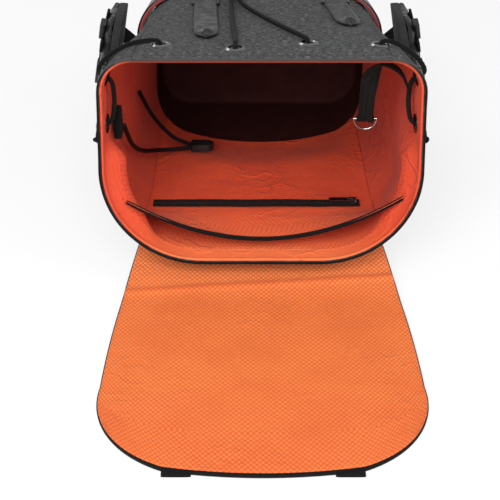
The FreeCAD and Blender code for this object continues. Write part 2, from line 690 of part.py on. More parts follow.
def cord(label, route, radius):
    """Lay a round cord along its route and report its bends, length and volume."""
    path, radii = cord_path(route)
    body = round_rod(path, radius)
    expected = math.pi * radius ** 2 * path.Length
    print(f"{label}: length {path.Length:.0f}, tightest bend {min(radii):.1f}, "
          f"volume {body.Volume:.0f} of {expected:.0f}")
    solid(label, body)
    return body, path


def knot(tube, route, radius, from_start=True):
    """Tie a round knot on one end of a cord."""
    end, inner = (route[0], route[1]) if from_start else (route[-1], route[-2])
    way = unit(place(*end) - place(*inner))
    return Part.makeSphere(radius, place(*end) + way * (radius - 0.6)).cut(tube)


left_cord, left_path = cord("drawcord_left", DRAWCORD_LEFT, CORD_R)
right_cord, right_path = cord("drawcord_right", DRAWCORD_RIGHT, CORD_R)
KNOT_R = 4.6
solid("cord_knots", Part.makeCompound([
    knot(tube, route, KNOT_R, start) for tube, route in ((left_cord, DRAWCORD_LEFT),
                                                         (right_cord, DRAWCORD_RIGHT))
    for start in (True, False)]))

LOCK = {"x": -30, "deep": 309, "z": 207.5, "tilt": -8.4, "barrel_r": 7.5, "barrel_end": 9,
        "closed_end": 15, "long": 14, "bore_r": 4.9, "stem_r": 4.6, "cap_r": 6.2, "cap": 3, "proud": 4.2,
        "slot": 6.2, "slot_half": 2.85, "stem_deep": 9.4}
lock_seat = FreeCAD.Placement(place(LOCK["x"], LOCK["deep"], LOCK["z"]),
                              FreeCAD.Rotation(Vector(1, 0, 0), LOCK["tilt"]))
across = Vector(1, 0, 0)
barrel = Part.makeCylinder(LOCK["barrel_r"], LOCK["closed_end"] + LOCK["barrel_end"],
                           Vector(-LOCK["closed_end"], 0, 0), across)
barrel = barrel.makeFillet(1.4, [edge for edge in barrel.Edges if len(edge.Vertexes) == 1])
barrel = barrel.cut(Part.makeCylinder(LOCK["bore_r"], 40, Vector(-LOCK["closed_end"] + 2.2, 0, 0), across))
cord_slot = Part.makeBox(2 * LOCK["slot"], 40, 2 * LOCK["slot_half"],
                         Vector(-LOCK["slot"], -20, -LOCK["slot_half"]))
barrel = barrel.cut(cord_slot)
barrel.Placement = lock_seat
solid("lock_barrel", barrel)
stem = Part.makeCylinder(LOCK["stem_r"], LOCK["stem_deep"] + LOCK["barrel_end"] + LOCK["proud"],
                         Vector(-LOCK["stem_deep"], 0, 0), across)
cap = Part.makeCylinder(LOCK["cap_r"], LOCK["cap"], Vector(LOCK["barrel_end"] + LOCK["proud"], 0, 0), across)
stem_slot = Part.makeBox(2 * LOCK["slot"] + 3.4, 40, 2 * LOCK["slot_half"],
                         Vector(-LOCK["slot"], -20, -LOCK["slot_half"]))
plunger = stem.cut(stem_slot).fuse(cap)
plunger.Placement = lock_seat
solid("lock_button", plunger)

# ---------------------------------------------------------------- inside: sleeve, zip, key strap, leash
inside = bag_loft("inside_space", LINING_IN + 0.4)
doc.recompute()
SLEEVE = size("sleeve_wall")
SLEEVE_STATIONS = [(20, 45, 100), (90, 44, 44.6), (402, 24.5, 25)]


def sleeve_section(deep, middle, side_z, low=0.0, high=None):
    """Draw the sagging cross-section of the sleeve at one depth."""
    high = SLEEVE if high is None else high
    under = Part.Arc(place(-150, deep, side_z + low), place(0, deep, middle + low),
                     place(150, deep, side_z + low)).toShape()
    over = Part.Arc(place(-150, deep, side_z + high), place(0, deep, middle + high),
                    place(150, deep, side_z + high)).toShape()
    ends = [Part.LineSegment(place(x, deep, side_z + low), place(x, deep, side_z + high)).toShape()
            for x in (-150, 150)]
    return Part.Wire(Part.__sortEdges__([under, ends[1], over, ends[0]]))


sleeve_loft = Part.makeLoft([sleeve_section(*station) for station in SLEEVE_STATIONS], True, True)
sleeve = sleeve_loft.common(inside.Shape).cut(strip(0, 26, 0, 200)).cut(dark_end.Shape)
solid("laptop_sleeve", sleeve)
edge_stations = [(20, 45, 100), (25.8, 44.9, 95.4)]
binding = Part.makeLoft([sleeve_section(*station, -1.5, SLEEVE + 1.5) for station in edge_stations], True, True)
solid("sleeve_binding", binding.common(inside.Shape))

ZIP_DEEP, ZIP_LEFT, ZIP_RIGHT = size("zip_y_deep"), size("zip_left"), size("zip_right")
ZIP_Z, ZIP_THICK, ZIP_HALF = 47.2, size("zip_thick"), size("zip_width") / 2
COIL_HALF = 1.8


def zip_strip(near, far, thick):
    """Make one straight strip of the zip between two distances from its middle."""
    return Part.makeBox(ZIP_RIGHT - ZIP_LEFT, far - near, thick,
                        Vector(ZIP_LEFT, along(ZIP_DEEP) + near, ZIP_Z))


solid("zip_tapes", Part.makeCompound([zip_strip(-ZIP_HALF, -COIL_HALF - 0.1, ZIP_THICK),
                                      zip_strip(COIL_HALF + 0.1, ZIP_HALF, ZIP_THICK)]))
solid("zip_coil", zip_strip(-COIL_HALF, COIL_HALF, ZIP_THICK + 0.5))
SLIDER_X = 98
slider_z = ZIP_Z + ZIP_THICK + 0.5 + 0.35
SLIDER = [(-6, -3, 1.5), (4, -4.4, 1.5), (6, -2.4, 1), (6, 2.4, 1), (4, 4.4, 1.5), (-6, 3, 1.5)]
slider = slab(SLIDER, 2, Vector(SLIDER_X, along(ZIP_DEEP), slider_z))
bridge = slab([(-4.5, 0, 0), (4.5, 0, 0), (4.5, 4.2, 1.6), (-4.5, 4.2, 1.6)], 2.2,
              Vector(SLIDER_X, along(ZIP_DEEP) + 1.1, slider_z + 1.5), UPRIGHT_XZ)
pin_hole = Part.makeBox(5.6, 6, 2.3, Vector(SLIDER_X - 2.8, along(ZIP_DEEP) - 3, slider_z + 2.2))
solid("zip_slider", slider.fuse(bridge.cut(pin_hole)))
PULLER = [(1.6, -3, 1.2), (1.6, 3, 1.2), (-25, 3.4, 2.4), (-25, -3.4, 2.4)]
puller = slab(PULLER, 1.3, Vector(SLIDER_X, along(ZIP_DEEP), slider_z + 2.7))
puller_eye = Part.makeBox(7, 3.4, 10, Vector(SLIDER_X - 6.2, along(ZIP_DEEP) - 1.7, slider_z))
puller_eye_cut = puller.cut(puller_eye)
solid("zip_puller", puller_eye_cut)

KEY_PROFILE = [(52, 233.4, 0), (54, 233.4, 0), (60, 226, 12), (76, 196, 60), (96, 152, 0), (94, 151, 0),
               (73, 195, 60), (57, 225, 12)]
KEY_X, RING_R, RING_WIRE, HEM_R, HEM_BORE, HEM_HALF = 108, 12, 1.1, 3.2, 1.5, 9
ring_seat = place(KEY_X, 95, 148.5)
key_strap = slab(KEY_PROFILE, 20, place(KEY_X - 10, 0, 0), UPRIGHT_YZ)
hem_start = ring_seat - Vector(HEM_HALF, 0, 0)
hem = Part.makeCylinder(HEM_R, 2 * HEM_HALF, hem_start, Vector(1, 0, 0))
hem_bore = Part.makeCylinder(HEM_BORE, 40, ring_seat - Vector(20, 0, 0), Vector(1, 0, 0))
solid("key_strap", key_strap.common(inside.Shape).fuse(hem).cut(hem_bore))
bar_end = ring_seat - Vector(RING_R, 0, 0)
bar = Part.makeCylinder(RING_WIRE, 2 * RING_R, bar_end, Vector(1, 0, 0))
wire_circle = Part.Face(Part.Wire(Part.makeCircle(RING_WIRE, bar_end, Vector(0, 0, 1))))
bow = wire_circle.revolve(ring_seat, Vector(0, -1, 0), 180)
corners = [Part.makeSphere(RING_WIRE, ring_seat + Vector(end * RING_R, 0, 0)) for end in (-1, 1)]
key_ring = bar.fuse([bow] + corners)
solid("key_ring", key_ring)

tab = slab([(62, 140, 4), (88, 140, 4), (88, 174, 4), (62, 174, 4)], 12, place(-152, 0, 0), UPRIGHT_YZ)
tab = tab.common(inside.Shape)
leash_near, _ = cord("leash_strap", LEASH_NEAR, 2.4)
leash_far, _ = cord("leash_return", LEASH_FAR, 2.4)
solid("leash_tab", tab.cut(leash_near))
hook = slab([(-80, 236, 3), (-80, 251, 3), (-58, 250, 6), (-52, 243.5, 4), (-58, 237, 6)], 8,
            place(0, 0, 37.8))
hook = hook.cut(slab([(-66, 240, 1), (-66, 247, 1), (-59, 246, 1), (-59, 241, 1)], 20, place(0, 0, 30)))
solid("leash_hook", hook.cut(leash_near).cut(leash_far))

# ---------------------------------------------------------------- side pockets
pocket_out, pocket_in = bag_loft("pocket_out", -5.4), bag_loft("pocket_in", -3.0)
pocket_ring = boolean("Part::Cut", "pocket_ring", pocket_out, pocket_in)
piping_out, piping_in = bag_loft("piping_out", -6.4), bag_loft("piping_in", -2.4)
piping_ring = boolean("Part::Cut", "piping_ring", piping_out, piping_in)
doc.recompute()
POCKET_NEAR, POCKET_FAR, PIPING = 308, 409, 3
for side, name in ((-1, "left"), (1, "right")):
    low_x = 104 if side > 0 else -204
    reach = Part.makeBox(100, POCKET_FAR - POCKET_NEAR, 174, place(low_x, POCKET_NEAR, 24))
    rim = Part.makeBox(100, PIPING, 174, place(low_x, POCKET_NEAR - PIPING - 0.1, 24))
    solid(f"side_pocket_{name}", pocket_ring.Shape.common(reach))
    grouped("pocket_piping", piping_ring.Shape.common(rim))

# ---------------------------------------------------------------- shoulder straps and their hardware
SHOULDER_OUTLINE = [(254, 80, 16), (252, 160, 30), (330, 172, 90), (432, 152, 14), (430, 84, 14),
                    (330, 92, 90)]
SHOULDER = size("shoulder_thick")
WING = size("wing_thick")
WING_PLAN = [(28, 104, 4), (28, 134, 4), (104, 178, 40), (140, 292, 12), (196, 292, 12), (196, 190, 30),
             (110, 110, 60)]
WING_SIDE = [(26, 3, 0), (120, 3, 40), (176, 46, 50), (184, 104, 0), (174, 105, 0), (167, 52, 44),
             (116, 11, 32), (26, 11, 0)]
for side, name in ((-1, "left"), (1, "right")):
    lean = FreeCAD.Rotation(Vector(0, 1, 0), -side * 9)
    panel = slab(SHOULDER_OUTLINE, SHOULDER, Vector(), UPRIGHT_YZ)
    panel.translate(Vector(-SHOULDER / 2, size("mouth_y"), 0))
    panel = panel.makeFillet(4, [edge for edge in panel.Edges
                                 if edge.BoundBox.XLength < 0.01])
    foot = Vector(side * 184, 0, 84)
    panel.translate(Vector(foot.x, 0, 0))
    panel.rotate(foot, Vector(0, 1, 0), -side * 9)
    solid(f"shoulder_strap_{name}", panel)
    wing_side = slab(mirrored(WING_SIDE, side), 520, place(0, 300, 0), UPRIGHT_XZ)
    wing_plan = slab([(side * x, along(deep), radius) for x, deep, radius in WING_PLAN], 220,
                     Vector(0, 0, -10))
    wing = wing_side.common(wing_plan)
    solid(f"strap_wing_{name}", wing.cut(panel))


def webbing(route, width, thick, across_way):
    """Sweep flat webbing along a route, its width along across_way where it starts."""
    path, _ = cord_path(route)
    start = path.Edges[0]
    here, way = start.firstVertex(True).Point, start.tangentAt(start.FirstParameter)
    wide = unit(across_way - way * across_way.dot(way)) * (width / 2)
    flat = unit(wide.cross(way)) * (thick / 2)
    corners = [here + wide + flat, here - wide + flat, here - wide - flat, here + wide - flat]
    return path.makePipeShell([Part.makePolygon(corners + corners[:1])], True, False)


def slot_edge(side, toward):
    """Give one long edge of a ladder lock's slot."""
    number = side * size("buckle_slot_at") + toward * size("buckle_slot") / 2
    return number, f"{side} * Sizes.buckle_slot_at + {toward} * Sizes.buckle_slot / 2"


BUCKLE_SLOTS = [box_corners(slot_edge(side, -1), slot_edge(side, 1),
                            half_of("buckle_wide", -size("buckle_frame"), -1),
                            half_of("buckle_wide", -size("buckle_frame"))) for side in (-1, 1)]
ladder_body = padded_body("ladder_lock", box_corners(half_of("buckle_long", 0, -1), half_of("buckle_long"),
                                                     half_of("buckle_wide", 0, -1), half_of("buckle_wide")),
                          "buckle_thick", pockets=BUCKLE_SLOTS, rounding=3)
WEB = {"width": 22, "thick": 1.8}
RAIL = {"near": 276, "far": 382, "z": 150, "width": 12, "thick": 2, "off": 1.4}
SLIDER_SIZE = {"long": 20, "tall": 18, "thick": 7.4, "deep": 322}
for side, name in ((-1, "left"), (1, "right")):
    foot = Vector(side * 184, 0, 84)
    leaning = FreeCAD.Rotation(Vector(0, 1, 0), -side * 9)

    def on_panel(shape):
        """Lean a shape built against an upright strap panel."""
        shape.rotate(foot, Vector(0, 1, 0), -side * 9)
        return shape

    face_x = side * (184 + SHOULDER / 2)
    lock = placed_copy(ladder_body, place(side * 184 - size("buckle_thick") / 2, 448, 112), UPRIGHT_YZ)
    lock = grouped("ladder_locks", on_panel(lock))
    tail_route = [(side * 183, 452, 106), (side * 181, 474, 92), (side * 160, 476, 72), (side * 139, 456, 54),
                  (side * 128, 427, 44)]
    tail_web = webbing(tail_route, WEB["width"], WEB["thick"], Vector(0, 0.3, 1))
    tail_web = grouped("tail_webbing", tail_web.cut(lock))
    anchor = slab([(side * 96, 26, 4), (side * 134, 30, 5), (side * 134, 58, 5)], 5, place(0, 426, 0),
                  UPRIGHT_XZ)
    base_shape = base_round.Shape
    grouped("webbing_anchors", anchor.cut(base_shape).cut(tail_web))
    rail = Part.makeBox(RAIL["thick"], RAIL["far"] - RAIL["near"], RAIL["width"],
                        place(face_x + (RAIL["off"] if side > 0 else -RAIL["off"] - RAIL["thick"]),
                              RAIL["near"], RAIL["z"] - RAIL["width"] / 2))
    foot_blocks = [Part.makeBox(RAIL["off"] + 0.5, 8, RAIL["width"],
                                place(face_x - (0.5 if side > 0 else RAIL["off"]), deep,
                                      RAIL["z"] - RAIL["width"] / 2))
                   for deep in (RAIL["near"], RAIL["far"] - 8)]
    rail = rail.fuse(foot_blocks)
    shoulder = next(part for part in parts if part.Label == f"shoulder_strap_{name}").Shape
    grouped("sternum_rails", on_panel(rail).cut(shoulder))
    low_x = face_x + (0.4 if side > 0 else -0.4 - SLIDER_SIZE["thick"])
    body = Part.makeBox(SLIDER_SIZE["thick"], SLIDER_SIZE["long"], SLIDER_SIZE["tall"],
                        place(low_x, SLIDER_SIZE["deep"], RAIL["z"] - SLIDER_SIZE["tall"] / 2))
    body = body.makeFillet(1.5, [edge for edge in body.Edges if edge.BoundBox.XLength < 0.01])
    slot_x = face_x + (RAIL["off"] - 0.4 if side > 0 else -RAIL["off"] - RAIL["thick"] - 0.4)
    slot = Part.makeBox(RAIL["thick"] + 0.8, 60, RAIL["width"] + 1,
                        place(slot_x, SLIDER_SIZE["deep"] - 20, RAIL["z"] - RAIL["width"] / 2 - 0.5))
    solid(f"sternum_slider_{name}", on_panel(body.cut(slot)))
    tab_x = low_x + (2.6 if side > 0 else SLIDER_SIZE["thick"] - 4.6)
    tail = Part.makeBox(2, 14, 32, place(tab_x, SLIDER_SIZE["deep"] + 3,
                                         RAIL["z"] - SLIDER_SIZE["tall"] / 2 - 32))
    tail = on_panel(tail)
    buckle_z = RAIL["z"] - SLIDER_SIZE["tall"] / 2 - 32
    if side < 0:
        prongs = [(-7, 0, 1), (7, 0, 1), (9, -8, 1), (10, -23, 1.2), (6, -28, 0.8), (6, -12, 1), (-6, -12, 1),
                  (-6, -28, 0.8), (-10, -23, 1.2), (-9, -8, 1)]
        buckle = slab(prongs, 5, Vector(), UPRIGHT_YZ)
    else:
        buckle = slab([(-8, 0, 2), (8, 0, 2), (12, -8, 4), (12, -30, 3), (-12, -30, 3), (-12, -8, 4)], 7,
                      Vector(), UPRIGHT_YZ)
        buckle = buckle.cut(Part.makeBox(4, 17, 22, Vector(1.5, -8.5, -33)))
    thick = 5 if side < 0 else 7
    buckle.translate(place(tab_x + 1 - thick / 2, SLIDER_SIZE["deep"] + 10, buckle_z))
    solid(f"sternum_buckle_{name}", on_panel(buckle).fuse(tail))

HAUL = [(-24, 101.8, 5), (-24, 62, 5), (24, 62, 5), (24, 101.8, 5)]
haul = webbing(HAUL, 3, 20, Vector(0, 0, 1))
solid("haul_loop", haul)
yoke = slab([(-27.6, 102, 5), (27.6, 102, 5), (27.6, 136, 5), (-27.6, 136, 5)], 32, place(0, 0, 2))
yoke = yoke.cut(pad_relief.Shape)
solid("yoke", min(yoke.Solids, key=lambda piece: piece.BoundBox.ZMin))

for label, shapes in groups.items():
    solid(label, Part.makeCompound(shapes))
doc.recompute()
os.makedirs("parts", exist_ok=True)
for thing in doc.Objects:
    if "Invalid" in thing.State or "Error" in thing.State:
        raise RuntimeError(f"{thing.Label} did not build")
for part in parts:
    if part.Shape.isNull() or not part.Shape.isValid() or part.Shape.Volume <= 0:
        raise RuntimeError(f"{part.Label} is not a valid solid")
for part in parts:
    part.Shape.exportStep(f"parts/{part.Label}.step")
print(f"{len(parts)} sub-parts written")
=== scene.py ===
"""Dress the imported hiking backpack: cloth, leather, webbing, cords, padding and the studio around it.

Tables and rules for shapes are in millimetres: x across, "deep" behind the lower lip of the mouth, z off
the ground. point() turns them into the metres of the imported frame.
"""
import functools
import json
import math

import bmesh
import bpy
import numpy as np
from mathutils import Matrix, Vector, noise


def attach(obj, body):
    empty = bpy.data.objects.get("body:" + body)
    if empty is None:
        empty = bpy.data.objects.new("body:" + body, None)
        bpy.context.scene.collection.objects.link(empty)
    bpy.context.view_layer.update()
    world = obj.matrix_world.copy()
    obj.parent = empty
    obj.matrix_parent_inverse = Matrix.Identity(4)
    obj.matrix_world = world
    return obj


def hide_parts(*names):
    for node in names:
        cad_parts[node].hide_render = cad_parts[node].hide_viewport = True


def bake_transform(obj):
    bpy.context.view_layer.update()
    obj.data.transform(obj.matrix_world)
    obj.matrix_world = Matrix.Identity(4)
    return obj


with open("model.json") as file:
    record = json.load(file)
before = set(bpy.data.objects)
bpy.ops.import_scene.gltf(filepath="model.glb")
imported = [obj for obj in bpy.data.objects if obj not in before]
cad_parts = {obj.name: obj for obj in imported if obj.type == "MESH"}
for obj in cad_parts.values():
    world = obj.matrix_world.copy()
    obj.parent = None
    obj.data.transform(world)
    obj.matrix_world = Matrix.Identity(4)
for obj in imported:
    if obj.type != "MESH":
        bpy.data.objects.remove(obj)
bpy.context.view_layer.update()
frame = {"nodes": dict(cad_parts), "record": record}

bl_info = {
    "name": "Hiking Backpack",
    "version": (1, 0, 0),
    "blender": (4, 5, 0),
    "location": "3D View > Sidebar > Backpack",
    "description": "Builds the cloth, leather and fittings of a hiking backpack round its packed frame",
    "category": "Object",
}

PACK, LID, FLAP = "pack", "lid", "lid_flap"
TURN = 2 * math.pi
MOUTH_Y = 250  # how far the lower lip of the mouth lies in front of the frame's origin
HOLE = 0.0062  # faces nearer than this to an eyelet's middle are cut away, in metres
HEM_SEAM = 9  # how far behind the lip the hem is topstitched
FOLD_LEAN = 0.09  # how much the lid's pressed fold slants


# ------------------------------------------------------------------ what a user may change
def colour(title, words, value):
    """Describe one colour of the backpack."""
    return bpy.props.FloatVectorProperty(name=title, description=words, default=value, size=3, min=0, max=1,
                                         subtype="COLOR")


def length(title, words, value):
    """Describe one length of the backpack in metres."""
    return bpy.props.FloatProperty(name=title, description=words, default=value, min=0, unit="LENGTH",
                                   precision=4)


class BackpackColours(bpy.types.PropertyGroup):
    """Colours of the cloths, leathers and cords, with tones that paint light and shade."""

    lid: colour("Lid lining", "Ripstop on the inside of the lid", (0.86, 0.225, 0.055))
    lid_shade: colour("Lid lining shade", "Deeper tone of the ripstop's lines on the lid", (0.50, 0.075, 0.017))
    # Painted shade: the bag's lining and its line tone are the lid's ripstop painted darker and redder, for the
    # shade inside the bag.
    lining: colour("Lining", "Ripstop lining of the bag", (0.77, 0.095, 0.030))
    lining_shade: colour("Lining shade", "Deeper tone of the ripstop's lines in the bag", (0.34, 0.022, 0.007))
    # Painted light: the hem and the cloth just inside the mouth are painted lighter, where the light falls in.
    facing: colour("Facing", "Hem's facing and cloth at the back of the mouth", (0.86, 0.19, 0.06))
    # Painted shade: the lining of the walls beside the mouth is painted darker.
    side_walls: colour("Side walls", "Lining at the sides of the mouth", (0.45, 0.05, 0.03))
    # Painted shade: the lining rolled over the front lip is painted near black.
    rim: colour("Rim", "Lining rolled over the front of the mouth", (0.09, 0.009, 0.007))
    # Painted shade: towards the lid's front edge its ripstop is painted redder and darker, where the light
    # falls off.
    lid_front: colour("Lid front", "Ripstop towards the lid's front edge", (0.66, 0.09, 0.03))
    # Painted light: next to the lid's root its ripstop is painted lighter, against the shadow that the bag
    # casts there.
    lid_crease: colour("Lid crease", "Ripstop next to the lid's crease", (1, 0.26, 0.085))
    # Painted shade: a darker line painted along the pressed fold across the lid, for the shade in the fold.
    lid_fold: colour("Lid fold", "Line pressed across the lid", (0.62, 0.06, 0.015))
    heather_dark: colour("Heather dark", "Dark yarn of the outer cloth", (0.005, 0.0052, 0.0056))
    heather_light: colour("Heather light", "Light yarn of the outer cloth", (0.20, 0.202, 0.206))
    leather: colour("Leather", "Straps and patches", (0.0065, 0.0062, 0.0064))
    webbing: colour("Webbing", "Webbing, tapes and cords", (0.0032, 0.0031, 0.0033))
    plastic: colour("Plastic", "Moulded fittings", (0.007, 0.007, 0.0075))
    mesh: colour("Air mesh", "Spacer mesh on the pads", (0.010, 0.010, 0.011))
    # Painted shade: the cloth at the bottom of the bag is painted near black for the deep end that light hardly
    # reaches.
    dark_lining: colour("Dark lining", "Coated cloth at the bottom of the bag", (0.027, 0.0065, 0.006))
    piping: colour("Piping", "Edges of the side pockets", (0.30, 0.012, 0.012))
    nickel: colour("Nickel", "Eyelets and the key ring", (0.34, 0.33, 0.32))
    snap: colour("Snap", "Dark metal snaps on the front straps", (0.10, 0.10, 0.105))


class BackpackSizes(bpy.types.PropertyGroup):
    """Sizes of the sewing and the weaves."""

    ripstop: length("Ripstop pitch", "Distance between the ripstop's crossed lines", 0.0041)
    hem: length("Hem", "Width of the plain band inside the mouth", 0.026)
    stitch: length("Stitch", "Length of one stitch with its gap", 0.0042)
    thread: length("Thread", "Thickness of the sewing thread", 0.0008)
    rib: length("Rib", "Distance between the ribs of the webbing", 0.0018)


class BackpackStudio(bpy.types.PropertyGroup):
    """Lamps and room light."""

    key: bpy.props.FloatProperty(name="Key lamp", description="Power of the large lamp in front of the mouth",
                                 default=54, min=0, unit="POWER")
    fill: bpy.props.FloatProperty(name="Fill lamp", description="Power of the lamp on the right",
                                  default=10, min=0, unit="POWER")
    back: bpy.props.FloatProperty(name="Back lamp", description="Power of the lamp behind on the left",
                                  default=4, min=0, unit="POWER")
    room: bpy.props.FloatProperty(name="Room light", description="Strength of the even light from all sides",
                                  default=0.42, min=0)


# ------------------------------------------------------------------ places and cross-sections
def point(x, deep, z):
    """Give the frame's point, in metres, for a place in millimetres."""
    return Vector((x, deep - MOUTH_Y, z)) * 0.001


def mix(a, b, share):
    """Give the number a share of the way from a to b."""
    return a + (b - a) * share


def smooth(low, high, value):
    """Rise softly from 0 at low to 1 at high."""
    share = min(1, max(0, (value - low) / (high - low)))
    return share * share * (3 - 2 * share)


def bell(away, width):
    """Give 1 in the middle, and fall softly to 0 a little further away than a width."""
    return math.exp(-(away / width) ** 2)


def close_in(low, high, is_before):
    """Close in on the place between two where a test stops holding."""
    for _ in range(24):
        middle = (low + high) / 2
        low, high = (middle, high) if is_before(middle) else (low, middle)
    return low


def curve_through(table, place):
    """Read a smooth curve through rows of (place, value, value, ...)."""
    row = max(0, min(len(table) - 2, sum(place >= entry[0] for entry in table) - 1))
    before, start, end, after = np.array([table[max(0, row - 1)], table[row], table[row + 1],
                                          table[min(len(table) - 1, row + 2)]], dtype=float)
    span, rise = end[0] - start[0], end - start
    share = (place - start[0]) / span
    in_slope = (end - before) * span / (end[0] - before[0])
    out_slope = (after - start) * span / (after[0] - start[0])
    bend = 3 * rise - 2 * in_slope - out_slope + share * (in_slope + out_slope - 2 * rise)
    return (start + share * (in_slope + share * bend)).tolist()[1:]


# deep, half width, low z, high z, top corner radius, low corner radius
STATIONS = ((-12, 163, 31, 243, 32, 105), (100, 154, 24, 235, 40, 80), (220, 141, 17, 213, 48, 57),
            (330, 132, 15, 196, 48, 45), (410, 124, 16, 181, 45, 42))
PROFILES = np.polyfit([row[0] for row in STATIONS], [row[1:] for row in STATIONS], len(STATIONS) - 1).T.tolist()
TAIL = 410
# shares of half the way round where the back, low corner, side and top corner end
BACK_END, LOW_END, SIDE_END, TOP_END = 0.195, 0.399, 0.625, 0.762
LIP_Z, MIDDLE_Z, LEAN = 31, 98.5, math.tan(math.radians(8.2))
FRONT_SEAM, BACK_SEAM = (128, 112), (96, 84)
SIDES = ((-1, "left"), (1, "right"))


@functools.lru_cache(maxsize=None)
def profile(deep):
    """Give half the width, the low and high z and both corner radii of the bag, so deep inside."""
    return [(((a * deep + b) * deep + c) * deep + d) * deep + e for a, b, c, d, e in PROFILES]


def section(share, deep):
    """Give x, z and the outward direction on the bag's outside, a share of the way round from the back."""
    half, low, high, top_r, low_r = profile(deep)
    side, way = (1, 2 * share) if share <= 0.5 else (-1, 2 - 2 * share)
    if way < BACK_END:
        spot = ((half - low_r) * way / BACK_END, low, 0, -1)
    elif way < LOW_END:
        angle = math.radians(90 * (way - BACK_END) / (LOW_END - BACK_END))
        out_x, out_z = math.sin(angle), -math.cos(angle)
        spot = (half - low_r + low_r * out_x, low + low_r + low_r * out_z, out_x, out_z)
    elif way < SIDE_END:
        spot = (half, mix(low + low_r, high - top_r, (way - LOW_END) / (SIDE_END - LOW_END)), 1, 0)
    elif way < TOP_END:
        angle = math.radians(90 * (way - SIDE_END) / (TOP_END - SIDE_END))
        out_x, out_z = math.cos(angle), math.sin(angle)
        spot = (half - top_r + top_r * out_x, high - top_r + top_r * out_z, out_x, out_z)
    else:
        spot = ((half - top_r) * (1 - (way - TOP_END) / (1 - TOP_END)), high, 0, 1)
    x, z, out_x, out_z = spot
    return side * x, z, side * out_x, out_z


def skin(share, deep, out=0.0):
    """Give the place on the bag's surface, moved outwards by out."""
    x, z, out_x, out_z = section(share, deep)
    return x + out * out_x, deep, z + out * out_z


def mouth_deep(share):
    """Give how deep the leaning mouth plane is at a share of the way round."""
    return (section(share, 12)[1] - LIP_Z) * LEAN


def on_side(side, share):
    """Give a share of the way round as it is on the right, or its mirror image on the left."""
    return share if side >= 0 else 1 - share


def share_at(x, deep, front=True):
    """Find the share of the way round where the front or back passes x."""
    ends = (SIDE_END / 2, 0.5) if front else (0, LOW_END / 2)
    return on_side(x, close_in(*ends, lambda share: (section(share, deep)[0] > abs(x)) == front))


@functools.lru_cache(maxsize=None)
def share_at_height(z, deep):
    """Find the share of the way round where the right side passes a height."""
    return close_in(BACK_END / 2, 0.5, lambda share: section(share, deep)[1] < z)


def front_z(x, deep, out=0.0):
    """Give the height of the bag's front at a place."""
    return skin(share_at(x, deep), deep, out)[2]


def inner_half(deep, z, inset, left=False):
    """Give the bag's inner width at a height, from the middle to the right or to the left."""
    half, low, _, _, low_r = profile(deep)
    radius = low_r - inset
    drop = max(0, low + low_r - z)
    wall = half - low_r + math.sqrt(max(0, radius * radius - drop * drop))
    return wall - hem_flare(deep, z, (z - LIP_Z) * LEAN, left)


def inner_back(x, deep, inset):
    """Give the height of the bag's back wall at a distance from the middle, on its inner side."""
    half, low, _, _, low_r = profile(deep)
    radius = low_r - inset
    beyond = max(0, abs(x) - half + low_r)
    return low + low_r - math.sqrt(max(0, radius * radius - beyond * beyond))


def ruffle(place, size, seed=0.0):
    """Give a smooth random number from -1 to 1 at a place in millimetres."""
    x, deep, z = place
    return noise.noise(Vector((x / size + seed, deep / size - seed, z / size + 3.1 * seed)))


def first_of(side, node):
    """Name the CAD node that a pair stands for, on its left piece alone."""
    return (node,) if side < 0 else ()


# ------------------------------------------------------------------ making pieces
def new_piece(name, mesh, finish, body, *nodes, slot=None):
    """Link a finished mesh as a piece that rides on a body and stands for CAD nodes."""
    if isinstance(mesh, bmesh.types.BMesh):
        bm, mesh = mesh, bpy.data.meshes.new(name)
        bm.to_mesh(mesh)
        bm.free()
    piece = bpy.data.objects.new(name, mesh)
    bpy.context.scene.collection.objects.link(piece)
    mesh.materials.clear()
    mesh.materials.append(FINISHES[finish])
    mesh.shade_smooth()
    if body:
        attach(piece, body)
    if nodes:
        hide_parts(*nodes)
    slot or finish
    return piece


def thicken(piece, thickness):
    """Give a sheet its thickness, on its inner side."""
    wall = piece.modifiers.new("Thickness", "SOLIDIFY")
    wall.thickness = thickness
    wall.offset = -1
    wall.use_even_offset = False
    return piece


def soften(piece):
    """Round a piece with a subdivision surface."""
    rounder = piece.modifiers.new("Rounding", "SUBSURF")
    rounder.levels = rounder.render_levels = 1
    return piece


def walked_along(line):
    """Give how far along a line each of its points is."""
    places = np.array([list(spot) for spot in line])
    return np.concatenate([[0], np.linalg.norm(np.diff(places, axis=0), axis=1).cumsum()])


def sheet_mesh(columns, rows, where, holes=(), wrap=False, start=0.0):
    """Shape a grid by a rule from two shares to a point; its UV map holds metres along the cloth."""
    bm = bmesh.new()
    chart = bm.loops.layers.uv.new("UVMap")
    bmesh.ops.create_grid(bm, x_segments=columns, y_segments=rows, size=0.5)
    spots = np.array([[where(column / columns, row / rows) for column in range(columns + 1)]
                      for row in range(rows + 1)])
    across, down = np.zeros(spots.shape[:2]), np.zeros(spots.shape[:2])
    across[:, 1:] = np.linalg.norm(np.diff(spots, axis=1), axis=2).cumsum(1)
    across -= across[:, columns // 2][:, None]
    down[1:] = np.linalg.norm(np.diff(spots, axis=0), axis=2).cumsum(0)
    index = {vert: (round((vert.co.y + 0.5) * rows), round((vert.co.x + 0.5) * columns)) for vert in bm.verts}
    for face in bm.faces:
        for loop in face.loops:
            cell = index[loop.vert]
            loop[chart].uv = (across[cell], down[cell] + start)
    for vert, cell in index.items():
        vert.co = spots[cell]
    if wrap:
        bmesh.ops.remove_doubles(bm, verts=bm.verts, dist=1e-6)
    for centre in holes:
        inside = [face for face in bm.faces if (face.calc_center_median() - centre).length < HOLE]
        bmesh.ops.delete(bm, geom=inside, context="FACES")
    return bm


def flip(bm):
    """Turn every face over."""
    bmesh.ops.reverse_faces(bm, faces=bm.faces)
    return bm


# ------------------------------------------------------------------ finishes
FINISHES = {}


def tinted(tone, scale, extra=0.0):
    """Scale a colour's channels and add a little to each."""
    return [channel * scale + extra for channel in tone]


